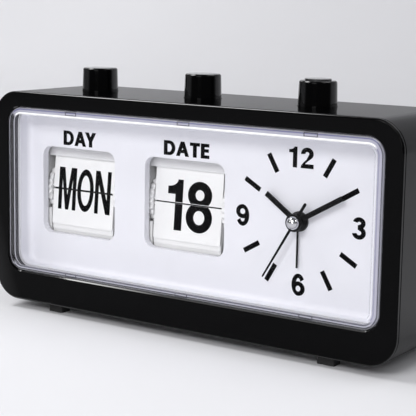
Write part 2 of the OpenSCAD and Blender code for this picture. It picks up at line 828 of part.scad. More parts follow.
module cal_pawl(m, bx, n) {
    r = ratchet_r(n) + ratchet_depth / 2;
    x0 = m + wheel_x0 + pawl_side;
    x1 = m + wheel_x0 + wheel_t - pawl_side;
    f1 = drum_d - r - finger_gap;
    f0 = f1 - finger_t;
    nose_h = axle_h + r * sin(pitch(n) / 2) + nose_gap;
    color([0.75, 0.65, 0.4]) {
        rod_z(bx, button_d, arm_h0, collar_h0, push_r);
        block(bx - arm_end, x1, button_d - arm_half, button_d + arm_half, arm_h0, arm_h1);
        block(x0, x1, f0, button_d + arm_half, arm_h0, arm_h1);
        block(x0, x1, f0, f1, nose_h, arm_h1);
        block(x0, x1, f0, f1 + finger_gap + nose_reach, nose_h, nose_h + nose_t);
    }
}

module alarm_plunger() {
    color([0.75, 0.65, 0.4])
        rod_z(button_xs[2], button_d, move_top + switch_h - slip, collar_h0, alarm_push_r);
}

// Coil spring standing on height h0: one unbroken tube
module coil(x, d, h0, h1, r, turns) {
    rings = 8 * turns;
    sides = 6;
    lift = h1 - h0 - 2 * wire_r;
    pts = [for (i = [0:rings], j = [0:sides - 1]) let (a = 45 * i, b = 60 * j)
        [(r + wire_r * cos(b)) * cos(a), (r + wire_r * cos(b)) * sin(a),
            wire_r + lift * i / rings + wire_r * sin(b)]];
    body = [for (i = [0:rings - 1], j = [0:sides - 1], half = [0, 1])
        let (k = (j + 1) % sides, p = i * sides, q = p + sides)
        half == 0 ? [p + j, p + k, q + k] : [p + j, q + k, q + j]];
    ends = [for (j = [1:sides - 2], half = [0, 1])
        half == 0 ? [0, j + 1, j] : [rings * sides, rings * sides + j, rings * sides + j + 1]];
    echo("least gap between turns", lift / turns - 2 * wire_r);
    translate([x, Y(d), Z(h0)]) polyhedron(points = pts, faces = concat(body, ends));
}

module cal_spring(bx) {
    color([0.7, 0.7, 0.72]) coil(bx, button_d, guide_h1 + touch, collar_h0 - touch, push_r + spring_in,
        spring_turns);
}

module alarm_spring() {
    color([0.7, 0.7, 0.72])
        coil(button_xs[2], button_d, guide_plate_h0 + guide_plate_t + touch, collar_h0 - touch,
            alarm_push_r + alarm_spring_in, alarm_turns);
}

module alarm_switch() {
    x = button_xs[2];
    color([0.15, 0.15, 0.16]) difference() {
        block(x - switch_w / 2, x + switch_w / 2, button_d - switch_w / 2, button_d + switch_w / 2,
            move_top, move_top + switch_h);
        rod_z(x, button_d, move_top + switch_floor, move_top + switch_h + past, alarm_push_r + switch_play);
    }
}

module alarm_guide() {
    x = button_xs[2];
    color([0.86, 0.86, 0.84]) difference() {
        union() {
            block(x - guide_leg_x - guide_leg_t, x + guide_leg_x + guide_leg_t,
                button_d - guide_front, button_d + guide_back,
                guide_plate_h0, guide_plate_h0 + guide_plate_t);
            for (s = [x - guide_leg_x - guide_leg_t, x + guide_leg_x])
                block(s, s + guide_leg_t, button_d - guide_front, button_d - guide_front + guide_leg_d,
                    move_top, guide_plate_h0 + guide_leg_lap);
        }
        rod_z(x, button_d, guide_plate_h0 - past, guide_plate_h0 + guide_plate_t + past,
            alarm_push_r + run_gap);
    }
}

module movement_case() {
    box = [dial_x - move_w / 2, dial_x + move_w / 2, dial_h - move_h / 2, dial_h + move_h / 2];
    color([0.12, 0.12, 0.13]) difference() {
        union() {
            prism(dial_back, move_back) rrect(box, move_r);
            rod_y(dial_x, dial_h, neck_r, dial_d - nut_t, dial_back + lap);
        }
        rod_y(dial_x, dial_h, pipe_r[3] + run_gap, dial_d - nut_t - past, pipe_d + 4 * pipe_step);
        for (s = [-knob_x, knob_x])
            rod_y(dial_x + s, knob_z, stem_r + run_gap, move_back - shaft_bore, move_back + past);
    }
}

module movement_nut() {
    color([0.1, 0.1, 0.11]) difference() {
        rod_y(dial_x, dial_h, neck_r + nut_w, dial_d - nut_t, dial_d);
        rod_y(dial_x, dial_h, neck_r + touch, dial_d - nut_t - past, dial_d + past);
    }
}

// Hand pointing up at twelve, turned clockwise by a
module hand(a, level, t, bore) {
    translate([dial_x, 0, Z(dial_h)]) rotate([0, a, 0]) translate([-dial_x, 0, -Z(dial_h)])
        prism(level - t, level) translate([dial_x, dial_h]) difference() {
            union() {
                children();
                circle(boss_r);
            }
            circle(bore + touch);
        }
}

module hour_hand() {
    color([0.03, 0.03, 0.03]) hand(hour_angle, level_hour, hand_t, pipe_r[2])
        translate([-hand_w / 2, 0]) square([hand_w, hour_l]);
}

module minute_hand() {
    color([0.03, 0.03, 0.03]) hand(minute_angle, level_minute, hand_t, pipe_r[1])
        translate([-hand_w / 2, 0]) square([hand_w, minute_l]);
}

module second_hand() {
    color([0.03, 0.03, 0.03]) hand(second_angle, level_second, second_t, pipe_r[0])
        polygon([[-thin_w / 2, -second_tail], [thin_w / 2, -second_tail], [thin_w / 2, 0],
            [thin_w / 4, second_l], [-thin_w / 4, second_l], [-thin_w / 2, 0]]);
}

module alarm_hand() {
    color([0.03, 0.03, 0.03]) hand(alarm_angle, level_alarm, alarm_t, pipe_r[3])
        translate([-thin_w / 2, 0]) square([thin_w, alarm_l]);
}

module hand_cap() {
    color([0.8, 0.8, 0.82]) translate([dial_x, Y(level_second - second_t), Z(dial_h)]) rotate([90, 0, 0])
        rotate_extrude() difference() {
            intersection() {
                translate([0, cap_out]) circle(cap_r);
                square([2 * cap_r, 2 * cap_r]);
            }
            square([pipe_r[0] + touch, cap_bore]);
        }
}

// Tube of the hand work between its inner bore and its outer radius
module pipe(inner, outer, d0, d1) {
    difference() {
        rod_y(dial_x, dial_h, outer, d0, d1);
        rod_y(dial_x, dial_h, inner, d0 - past, d1 + past);
    }
}

module second_staff() {
    color([0.75, 0.65, 0.4])
        rod_y(dial_x, dial_h, pipe_r[0], level_second - second_t - staff_out, pipe_d + 3 * pipe_step);
}

module minute_pipe() {
    color([0.75, 0.65, 0.4])
        pipe(pipe_r[0] + run_gap, pipe_r[1], level_minute - hand_t, pipe_d + 2 * pipe_step);
}

module hour_pipe() {
    color([0.75, 0.65, 0.4]) pipe(pipe_r[1] + run_gap, pipe_r[2], level_hour - hand_t, pipe_d + pipe_step);
}

module alarm_pipe() {
    color([0.75, 0.65, 0.4]) pipe(pipe_r[2] + run_gap, pipe_r[3], level_alarm - alarm_t, pipe_d);
}

module set_knob(side) {
    x = dial_x + side * knob_x;
    color([0.05, 0.05, 0.055]) difference() {
        prism(knob_d0, knob_d0 + knob_h) translate([x, knob_z])
            polygon([for (i = [0:2 * knob_flutes - 1], a = 180 / knob_flutes * i)
                (i % 2 == 0 ? knob_r : knob_r - knob_flute) * [cos(a), sin(a)]]);
        rod_y(x, knob_z, stem_r + touch, knob_d0 - past, knob_d0 + knob_bore);
    }
}

module set_shaft(side) {
    color([0.75, 0.65, 0.4])
        rod_y(dial_x + side * knob_x, knob_z, stem_r, move_back - shaft_bore + slip, knob_d0 + shaft_in);
}

module battery_tray() {
    color([0.12, 0.12, 0.13]) difference() {
        block(bay_x0 - tray_t, bay_x1 + tray_t, move_back, bay_d1,
            cell_h - bay_half - tray_t, cell_h + bay_half + tray_t);
        block(bay_x0, bay_x1, move_back + tray_t, bay_d1 + past, cell_h - bay_half, cell_h + bay_half);
    }
}

module battery() {
    color([0.15, 0.35, 0.25]) {
        rod_x(cell_x0, cell_x0 + cell_l, cell_d, cell_h, cell_r);
        rod_x(cell_x0 + cell_l - nub_lap, cell_x0 + cell_l + nub_l, cell_d, cell_h, nub_r);
    }
}

module battery_spring() {
    color([0.7, 0.7, 0.72]) translate([bay_x0 + touch, Y(cell_d), Z(cell_h)]) rotate([0, 90, 0])
        translate([0, -Y(0), -Z(0)]) coil(0, 0, 0, cell_spring_l - 2 * touch, cell_spring_r, cell_turns);
}

module battery_contact() {
    color([0.75, 0.75, 0.72]) block(bay_x1 - contact_t, bay_x1, cell_d - contact_half, cell_d + contact_half,
        cell_h - contact_half, cell_h + contact_half);
}

module battery_door() {
    color([0.035, 0.035, 0.04]) difference() {
        union() {
            block(door_x0, door_x1, cover_d1 - door_t, cover_d1, hinge_h, door_h1);
            rod_x(door_x0, door_x1, hinge_d, hinge_h, door_t / 2);
            rod_x(door_x0 - hinge_pin_l, door_x1 + hinge_pin_l, hinge_d, hinge_h, hinge_r);
        }
        rod_x(cell_x - notch_w / 2, cell_x + notch_w / 2, cover_d1 + notch_up, door_h1 - notch_in, notch_r);
        for (i = [0:2]) rod_x(cell_x - notch_w / 2, cell_x + notch_w / 2, cover_d1,
            door_h1 - notch_in - grip_first - i * grip_step, grip_r);
    }
}

module buzzer() {
    color([0.08, 0.08, 0.085]) difference() {
        rod_y(buzzer_x, dial_h, buzzer_r, cover_d0 - buzzer_t, cover_d0);
        rod_y(buzzer_x, dial_h, buzzer_hole_r, cover_d0 - past, cover_d0 + past);
    }
}

module feet(d0) {
    color([0.06, 0.06, 0.06]) for (s = [-1, 1])
        translate([s * foot_x, Y(d0 + foot_d / 2), 0]) linear_extrude(foot_h)
            rrect([-foot_w / 2, foot_w / 2, -foot_d / 2, foot_d / 2], foot_r);
}

module cover_screws() {
    color([0.7, 0.7, 0.72]) for (p = posts) {
        d1 = cover_d1 - screw_sink;
        rod_y(p[0], p[1], screw_head_r, d1 - screw_head_t, d1);
        rod_y(p[0], p[1], screw_r, d1 - screw_head_t - screw_l, d1 - screw_head_t);
    }
}

module frame_screws() {
    color([0.7, 0.7, 0.72]) for (m = [mod_x(day_x), mod_x(date_x)], p = pad_spots) {
        rod_y(m + p[0], p[1], frame_screw_r, dial_d + frame_tip, pad_d1);
        rod_y(m + p[0], p[1], frame_head_r, pad_d1, pad_d1 + frame_head_t);
    }
}

front_bezel();
case_shell();
rear_cover();
lens();
dial_plate();
cal_frame(mod_x(day_x), button_xs[0]);  // day_frame
cal_frame(mod_x(date_x), button_xs[1]);  // date_frame
cal_axle(mod_x(day_x));  // day_axle
cal_axle(mod_x(date_x));  // date_axle
cal_drum(mod_x(day_x), day_leaves);  // day_drum
cal_drum(mod_x(date_x), date_leaves);  // date_drum
cal_ratchet(mod_x(day_x), day_leaves);  // day_ratchet
cal_ratchet(mod_x(date_x), date_leaves);  // date_ratchet
leaf_pack(mod_x(day_x), day_leaves);  // day_leaf_pack
leaf_pack(mod_x(date_x), date_leaves);  // date_leaf_pack
flip_leaf(mod_x(day_x), day_leaves);  // day_flip_leaf
flip_leaf(mod_x(date_x), date_leaves);  // date_flip_leaf
leaf_lip(mod_x(day_x));  // day_leaf_lip
leaf_lip(mod_x(date_x));  // date_leaf_lip
cal_detent(mod_x(day_x));  // day_detent
cal_detent(mod_x(date_x));  // date_detent
color([0.03, 0.03, 0.035]) push_button(button_xs[0]);  // day_button
color([0.03, 0.03, 0.035]) push_button(button_xs[1]);  // date_button
color([0.03, 0.03, 0.035]) alarm_cap();  // alarm_button
alarm_button_disc();
cal_pawl(mod_x(day_x), button_xs[0], day_leaves);  // day_pawl
cal_pawl(mod_x(date_x), button_xs[1], date_leaves);  // date_pawl
alarm_plunger();
cal_spring(button_xs[0]);  // day_spring
cal_spring(button_xs[1]);  // date_spring
alarm_spring();
alarm_switch();
alarm_guide();
movement_case();
movement_nut();
hour_hand();
minute_hand();
second_hand();
alarm_hand();
hand_cap();
hour_pipe();
minute_pipe();
second_staff();
alarm_pipe();
set_knob(1);  // time_knob
set_knob(-1);  // alarm_knob
set_shaft(1);  // time_shaft
set_shaft(-1);  // alarm_shaft
battery_tray();
battery();
battery_spring();
battery_contact();
battery_door();
buzzer();
feet(foot_inset);  // front_feet
feet(case_d - foot_inset - foot_d);  // rear_feet
cover_screws();
frame_screws();
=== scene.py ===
import math

import bmesh
import bpy
from mathutils import Matrix, Vector


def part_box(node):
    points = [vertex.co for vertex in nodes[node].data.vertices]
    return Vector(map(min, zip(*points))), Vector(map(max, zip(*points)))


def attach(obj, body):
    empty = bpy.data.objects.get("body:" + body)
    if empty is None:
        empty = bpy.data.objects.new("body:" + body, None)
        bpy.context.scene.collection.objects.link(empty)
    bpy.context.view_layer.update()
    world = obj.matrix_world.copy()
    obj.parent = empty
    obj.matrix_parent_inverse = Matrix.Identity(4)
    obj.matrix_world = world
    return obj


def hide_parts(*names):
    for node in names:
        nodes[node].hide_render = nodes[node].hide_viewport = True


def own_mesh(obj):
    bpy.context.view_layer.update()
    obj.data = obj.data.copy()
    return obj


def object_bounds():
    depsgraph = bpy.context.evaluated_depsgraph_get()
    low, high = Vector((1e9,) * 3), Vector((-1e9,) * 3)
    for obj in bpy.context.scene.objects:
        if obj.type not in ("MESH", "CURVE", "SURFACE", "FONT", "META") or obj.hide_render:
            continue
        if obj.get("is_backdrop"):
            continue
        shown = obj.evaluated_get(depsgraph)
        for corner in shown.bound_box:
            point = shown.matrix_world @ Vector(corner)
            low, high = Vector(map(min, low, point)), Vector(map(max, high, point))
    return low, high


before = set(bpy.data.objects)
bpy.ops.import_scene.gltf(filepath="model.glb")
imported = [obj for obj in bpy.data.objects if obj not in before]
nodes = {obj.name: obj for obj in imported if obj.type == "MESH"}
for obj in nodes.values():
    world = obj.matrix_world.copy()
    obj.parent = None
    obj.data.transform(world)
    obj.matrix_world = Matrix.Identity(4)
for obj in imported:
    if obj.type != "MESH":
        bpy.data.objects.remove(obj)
cadLow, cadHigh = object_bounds()
print("frame loaded, nodes:", len(nodes))

# widths run right, depths back from the front face, heights up from the case's underside, all in mm
case = {"depth": 52.0, "foot": 3.5}
mm = 0.001


def spot(x, d, h):
    return Vector((x, d - case["depth"] / 2, h + case["foot"])) * mm


# mesh helpers

def linked(name, data):
    obj = bpy.data.objects.new(name, data)
    bpy.context.scene.collection.objects.link(obj)
    return obj


# plain mesh of a holder with its fill or modifiers applied
def takeMesh(holder):
    bpy.context.view_layer.update()
    mesh = bpy.data.meshes.new_from_object(holder.evaluated_get(bpy.context.evaluated_depsgraph_get()))
    bpy.data.objects.remove(holder)
    return mesh


# walls between two closed rings of the same count
def bridge(bm, here, after):
    for i in range(len(here)):
        j = (i + 1) % len(here)
        bm.faces.new((here[i], here[j], after[j], after[i]))


def plate(bm, front, back):
    bm.faces.new(front)
    bm.faces.new(back)
    bridge(bm, front, back)


def closeMesh(bm, name):
    bmesh.ops.recalc_face_normals(bm, faces=bm.faces[:])
    mesh = bpy.data.meshes.new(name)
    bm.to_mesh(mesh)
    bm.free()
    return mesh


def faceOut(mesh):
    bm = bmesh.new()
    bm.from_mesh(mesh)
    bmesh.ops.recalc_face_normals(bm, faces=bm.faces[:])
    bm.to_mesh(mesh)
    bm.free()
    mesh.update()


# looks

def newLook(name):
    mat = bpy.data.materials.new(name)
    mat.use_nodes = True
    tree = mat.node_tree
    shader = tree.nodes["Principled BSDF"]
    place = tree.nodes.new("ShaderNodeTexCoord").outputs["Object"]
    return mat, tree, shader, place


def addNoise(tree, place, scale, detail=3.0, rough=0.55):
    noise = tree.nodes.new("ShaderNodeTexNoise")
    noise.inputs["Scale"].default_value = scale
    noise.inputs["Detail"].default_value = detail
    noise.inputs["Roughness"].default_value = rough
    tree.links.new(place, noise.inputs["Vector"])
    return noise.outputs["Fac"]


def addRange(tree, value, low, high, fromLow=0.3, fromHigh=0.7):
    part = tree.nodes.new("ShaderNodeMapRange")
    part.inputs["From Min"].default_value = fromLow
    part.inputs["From Max"].default_value = fromHigh
    part.inputs["To Min"].default_value = low
    part.inputs["To Max"].default_value = high
    tree.links.new(value, part.inputs["Value"])
    return part.outputs["Result"]


# each stop is a place from 0 to 1 and a colour with its cover
def addRamp(tree, value, stops):
    ramp = tree.nodes.new("ShaderNodeValToRGB")
    elements = ramp.color_ramp.elements
    for i, (place, colour) in enumerate(stops):
        stop = elements[i] if i < 2 else elements.new(place)
        stop.position = place
        stop.color = colour
    tree.links.new(value, ramp.inputs["Fac"])
    return ramp.outputs["Color"], ramp.outputs["Alpha"]


def addBlend(tree, value, colourA, colourB):
    return addRamp(tree, value, [(0.35, (*colourA, 1)), (0.65, (*colourB, 1))])[0]


def addBump(tree, shader, value, strength, distance=0.0002):
    bump = tree.nodes.new("ShaderNodeBump")
    bump.inputs["Strength"].default_value = strength
    bump.inputs["Distance"].default_value = distance
    tree.links.new(value, bump.inputs["Height"])
    tree.links.new(bump.outputs["Normal"], shader.inputs["Normal"])


def addMath(tree, kind, first, second=None):
    part = tree.nodes.new("ShaderNodeMath")
    part.operation = kind
    for socket, value in zip(part.inputs, (first, second)):
        if value is None:
            continue
        if isinstance(value, (int, float)):
            socket.default_value = value
        else:
            tree.links.new(value, socket)
    return part.outputs[0]


def addMix(tree, kind, share, first, second):
    part = tree.nodes.new("ShaderNodeMix")
    part.data_type = kind
    start = 6 if kind == "RGBA" else 2
    tree.links.new(share, part.inputs[0])
    tree.links.new(first, part.inputs[start])
    tree.links.new(second, part.inputs[start + 1])
    return part.outputs[2 if kind == "RGBA" else 0]


# mottle is the broad drift of tone, grain the fine moulded or brushed surface
def surfaceLook(name, colour, rough, mottle, mottleScale, grain, grainDeep, specular, metal=0.0,
                stretch=None, shine=None):
    mat, tree, shader, place = newLook(name)
    broad = addNoise(tree, place, mottleScale)
    dark = tuple(c * (1 - mottle) for c in colour)
    light = tuple(min(1, c * (1 + mottle)) for c in colour)
    tree.links.new(addBlend(tree, broad, dark, light), shader.inputs["Base Color"])
    if stretch:
        drawn = tree.nodes.new("ShaderNodeMapping")
        drawn.inputs["Scale"].default_value = stretch
        tree.links.new(place, drawn.inputs["Vector"])
        place = drawn.outputs["Vector"]
    fine = addNoise(tree, place, grain, 2, 0.5)
    tree.links.new(addRange(tree, fine, rough[0], rough[1]), shader.inputs["Roughness"])
    addBump(tree, shader, fine, grainDeep)
    shader.inputs["Metallic"].default_value = metal
    shader.inputs["Specular IOR Level"].default_value = specular
    if shine:
        facing = tree.nodes.new("ShaderNodeLayerWeight").outputs["Facing"]
        stops = [(turned, (level, level, level, 1)) for turned, level in shine]
        tree.links.new(addRamp(tree, facing, stops)[0], shader.inputs["Specular IOR Level"])
    return mat


# colour, roughness range, mottle, mottle scale, grain, grain depth, specular level, metal
surfaces = {
    "blackGloss": ((0.0012, 0.0012, 0.0014), (0.045, 0.075), 0.12, 30, 1500, 0.006, 0.09),
    "buttonGloss": ((0.0012, 0.0012, 0.0014), (0.045, 0.075), 0.12, 60, 1500, 0.006, 0.09),
    "blackMoulded": ((0.016, 0.016, 0.017), (0.42, 0.55), 0.12, 60, 2600, 0.14, 0.35),
    "discGrey": ((0.03, 0.03, 0.032), (0.1, 0.16), 0.1, 200, 2200, 0.02, 0.5),
    "dialWhite": ((0.82, 0.82, 0.875), (0.38, 0.5), 0.012, 40, 2400, 0.02, 0.3),
    "leafFilm": ((0.90, 0.90, 0.905), (0.45, 0.58), 0.012, 120, 3200, 0.03, 0.25),
    "lipFilm": ((0.74, 0.74, 0.755), (0.4, 0.5), 0.02, 90, 2000, 0.02, 0.3),
    "framePlastic": ((0.78, 0.78, 0.78), (0.42, 0.56), 0.03, 70, 1800, 0.05, 0.35),
    "drumWhite": ((0.88, 0.88, 0.885), (0.38, 0.5), 0.02, 90, 2200, 0.03, 0.35),
    # black of the sleeve that stands in for the shade inside each drum
    "coreBlack": ((0.006, 0.006, 0.0065), (0.5, 0.65), 0.12, 90, 2200, 0.06, 0.2),
    "acetal": ((0.74, 0.70, 0.60), (0.3, 0.42), 0.03, 80, 1600, 0.03, 0.45),
    "ink": ((0.0012, 0.0012, 0.0014), (0.5, 0.62), 0.1, 160, 3000, 0.02, 0.02),
    "handPaint": ((0.002, 0.002, 0.0024), (0.32, 0.45), 0.1, 160, 2600, 0.03, 0.1),
    "capChrome": ((0.62, 0.62, 0.64), (0.06, 0.11), 0.03, 300, 2600, 0.01, 0.5, 1.0),
    "brightSteel": ((0.58, 0.58, 0.60), (0.24, 0.38), 0.06, 260, 2200, 0.05, 0.5, 1.0),
    "turnedBrass": ((0.66, 0.50, 0.22), (0.22, 0.34), 0.06, 240, 2400, 0.05, 0.5, 1.0),
    "footRubber": ((0.02, 0.02, 0.02), (0.65, 0.8), 0.15, 120, 1800, 0.2, 0.25),
}
stretches = {"brightSteel": (1.0, 1.0, 8.0)}
# how glossy it is from square on (0) to edge on (1)
shines = {
    "blackGloss": [(0.0, 0.06), (0.285, 0.06), (0.33, 1.0), (0.39, 1.0), (0.43, 0.3), (0.5, 0.3),
                   (0.7, 0.09), (0.9, 0.004)],
    "buttonGloss": [(0.0, 0.06), (0.2, 0.06), (0.3, 0.9), (0.6, 0.4), (0.95, 0.35)],
}
looks = {}
for name, surface in surfaces.items():
    looks[name] = surfaceLook(name, *surface, stretch=stretches.get(name), shine=shines.get(name))


# clear tray: the face is open; its moulded rim is drawn with painted highlight and painted shade bands over
# the lens's lavender tint, standing in for light bent and gathered in the rim, sizes in mm
lens = {"halfWide": 83.05, "halfTall": 32.65, "corner": 6.35, "wall": 1.3, "thick": 1.5, "reach": 4.0,
        "frontFrom": -1.0, "frontTo": 0.7, "wallHalf": 0.25, "lineBefore": 0.2, "lineAfter": 0.5,
        "innerFrom": 0.4, "innerTo": 20.0, "tabFrom": -0.4, "tabTo": -0.2,
        "bandSoft": 0.12, "sideSoft": 1.0, "mitreSoft": 1.2}
# cover of each lens mask: line is a painted highlight line where the inner wall meets the front plate, snap
# the painted dark outline of the snap tabs
lensCover = {"face": 0.004, "line": 0.7, "inner": 0.12, "tab": 0.5, "snap": 0.8}
snapTabs = {"first": -51.0, "pitch": 52.95, "half": 2.6, "start": 0.3, "end": 1.8, "line": 0.3,
            "edge": 0.2, "soft": 0.1}
# each painted band of highlight or shade is mm in from the edge, tone and cover
paintedRimLight = {
    "left": [(0.0, (0.74, 0.74, 0.84), 0.42), (0.45, (0.74, 0.74, 0.84), 0.42),
             (0.6, (0.74, 0.74, 0.84), 0.0)],
    "right": [(0.0, (0.05, 0.05, 0.07), 0.9), (0.25, (0.28, 0.28, 0.33), 0.9),
              (0.55, (0.28, 0.28, 0.33), 0.9), (0.7, (0.025, 0.025, 0.05), 0.85),
              (1.0, (0.025, 0.025, 0.05), 0.85), (1.2, (0.37, 0.36, 0.46), 0.8),
              (1.95, (0.37, 0.36, 0.46), 0.8), (2.1, (0.20, 0.20, 0.30), 0.8),
              (2.45, (0.20, 0.20, 0.30), 0.8), (2.6, (0.34, 0.34, 0.44), 0.7),
              (2.85, (0.6, 0.6, 0.68), 0.5), (3.05, (0.9, 0.9, 0.95), 0.0),
              (3.4, (0.4, 0.4, 0.46), 0.0), (3.5, (0.4, 0.4, 0.46), 0.45),
              (3.75, (0.4, 0.4, 0.46), 0.45), (3.9, (0.4, 0.4, 0.46), 0.0)],
    "top": [(0.0, (0.1, 0.1, 0.11), 0.9), (0.12, (0.43, 0.43, 0.48), 0.9),
            (0.4, (0.43, 0.43, 0.48), 0.9), (0.5, (0.17, 0.17, 0.31), 0.85),
            (0.85, (0.17, 0.17, 0.31), 0.85), (1.0, (0.41, 0.41, 0.5), 0.85),
            (1.8, (0.42, 0.42, 0.5), 0.85), (1.95, (1.0, 1.0, 1.0), 0.95),
            (2.35, (1.0, 1.0, 1.0), 0.95), (2.8, (1.0, 1.0, 1.0), 0.0)],
    "bottom": [(0.0, (0.1, 0.1, 0.11), 0.9), (0.15, (0.3, 0.3, 0.32), 0.9),
               (0.42, (0.3, 0.3, 0.32), 0.9), (0.55, (0.06, 0.06, 0.075), 0.85),
               (0.85, (0.06, 0.06, 0.075), 0.85), (1.0, (0.5, 0.5, 0.58), 0.8),
               (1.35, (0.5, 0.5, 0.58), 0.8), (1.5, (0.085, 0.085, 0.12), 0.8),
               (1.85, (0.085, 0.085, 0.12), 0.8), (2.1, (0.5, 0.5, 0.55), 0.4),
               (2.3, (0.5, 0.5, 0.55), 0.0)],
}


def lensLook():
    mat, tree, shader, place = newLook("lensClear")
    low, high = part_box("lens")
    middle = (low + high) / 2
    size = {part: value * mm for part, value in lens.items()}
    tab = {part: value * mm for part, value in snapTabs.items()}
    sep = tree.nodes.new("ShaderNodeSeparateXYZ")
    tree.links.new(place, sep.inputs["Vector"])

    def calc(kind, first, second=None):
        return addMath(tree, kind, first, second)

    def step(value, low, high, centre, soft):
        return addRange(tree, value, low, high, centre - soft, centre + soft)

    def band(value, start, end):
        rise = step(value, 0, 1, start, size["bandSoft"])
        fall = step(value, 1, 0, end, size["bandSoft"])
        return calc("MULTIPLY", rise, fall)

    # inward is how far a point lies inside the rounded outline, behind how far back from the front
    beyond = []
    for axis, centre, half in (("X", middle.x, size["halfWide"]), ("Z", middle.z, size["halfTall"])):
        away = calc("ABSOLUTE", calc("SUBTRACT", sep.outputs[axis], centre))
        beyond.append(calc("SUBTRACT", away, half - size["corner"]))
    squares = [calc("POWER", calc("MAXIMUM", value, 0.0), 2.0) for value in beyond]
    run = calc("SQRT", calc("ADD", *squares))
    within = calc("MINIMUM", calc("MAXIMUM", *beyond), 0.0)
    inward = calc("SUBTRACT", size["corner"], calc("ADD", run, within))
    behind = calc("SUBTRACT", sep.outputs["Y"], low.y)

    # painted highlight and shade bands for each side of the rim, blended across the corners
    share = addRange(tree, inward, 0, 1, 0, size["reach"])
    tones, covers = {}, {}
    for side, bands in paintedRimLight.items():
        stops = [(far / lens["reach"], (*tone, cover)) for far, tone, cover in bands]
        tones[side], covers[side] = addRamp(tree, share, stops)
    toRight = step(sep.outputs["X"], 0, 1, middle.x, size["sideSoft"])
    toTop = step(sep.outputs["Z"], 0, 1, middle.z, size["sideSoft"])
    level = step(calc("SUBTRACT", beyond[1], beyond[0]), 0, 1, 0, size["mitreSoft"])
    blends = {}
    for kind, parts in (("RGBA", tones), ("FLOAT", covers)):
        across = addMix(tree, kind, toRight, parts["left"], parts["right"])
        upright = addMix(tree, kind, toTop, parts["bottom"], parts["top"])
        blends[kind] = addMix(tree, kind, level, across, upright)

    # painted dark outline of the snap tabs in the upper and lower rim, standing in for the shade lines at the
    # clear tabs' edges
    along = calc("SUBTRACT", sep.outputs["X"], tab["first"] - tab["pitch"] * 1.5)
    fromTab = calc("ABSOLUTE", calc("SUBTRACT", calc("MODULO", along, tab["pitch"]), tab["pitch"] / 2))
    sides = band(fromTab, tab["half"] - tab["edge"], tab["half"] + tab["edge"])
    sides = calc("MULTIPLY", sides, band(inward, tab["start"], tab["end"]))
    ends = calc("ADD", band(inward, tab["start"], tab["start"] + tab["line"]),
                band(inward, tab["end"] - tab["line"], tab["end"]))
    ends = calc("MULTIPLY", step(fromTab, 1, 0, tab["half"], tab["soft"]), ends)
    snap = calc("MULTIPLY", calc("MAXIMUM", sides, ends), level)

    front = band(behind, size["frontFrom"], size["frontTo"])
    innerWall = band(inward, size["wall"] - size["wallHalf"], size["wall"] + size["wallHalf"])
    thick = size["thick"]
    # line: painted highlight along the inner corner of the front plate
    line = calc("MULTIPLY", innerWall, band(behind, thick - size["lineBefore"], thick + size["lineAfter"]))
    inner = calc("MULTIPLY", innerWall, band(behind, thick + size["innerFrom"], size["innerTo"]))
    tabs = addRange(tree, inward, 1, 0, size["tabFrom"], size["tabTo"])
    cover = calc("MAXIMUM", blends["FLOAT"], calc("MULTIPLY", snap, lensCover["snap"]))
    total = calc("MAXIMUM", calc("MULTIPLY", cover, front), lensCover["face"])
    for mask, part in ((line, "line"), (inner, "inner"), (tabs, "tab")):
        total = calc("MAXIMUM", total, calc("MULTIPLY", mask, lensCover[part]))
    tree.links.new(total, shader.inputs["Alpha"])
    haze = addNoise(tree, place, 260)
    plain = addBlend(tree, haze, (0.74, 0.74, 0.83), (0.80, 0.80, 0.88))
    # dark: tone of the painted shade outlines of the snap tabs
    dark = addBlend(tree, haze, (0.03, 0.03, 0.045), (0.05, 0.05, 0.07))
    # rim: the painted highlight and shade bands with the painted tab outlines over them
    rim = addMix(tree, "RGBA", snap, blends["RGBA"], dark)
    tree.links.new(addMix(tree, "RGBA", front, plain, rim), shader.inputs["Base Color"])
    tree.links.new(addRange(tree, haze, 0.03, 0.06), shader.inputs["Roughness"])
    shader.inputs["Specular IOR Level"].default_value = 0.5
    return mat


# cell jacket with a warm band at its raised end
cell = {"jacket": (0.03, 0.09, 0.07), "band": (0.55, 0.32, 0.10), "bandAt": 0.74, "soft": 0.1, "metal": 0.6}


def cellLook():
    mat, tree, shader, place = newLook("cellJacket")
    low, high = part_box("battery")
    sep = tree.nodes.new("ShaderNodeSeparateXYZ")
    tree.links.new(place, sep.inputs["Vector"])
    edge = low.x + (high.x - low.x) * cell["bandAt"]
    share = addRange(tree, sep.outputs["X"], 0, 1, edge - cell["soft"] * mm, edge + cell["soft"] * mm)
    tree.links.new(addBlend(tree, share, cell["jacket"], cell["band"]), shader.inputs["Base Color"])
    tree.links.new(addRange(tree, addNoise(tree, place, 900), 0.24, 0.36), shader.inputs["Roughness"])
    shader.inputs["Metallic"].default_value = cell["metal"]
    return mat


looks["lensClear"] = lensLook()
looks["cellJacket"] = cellLook()

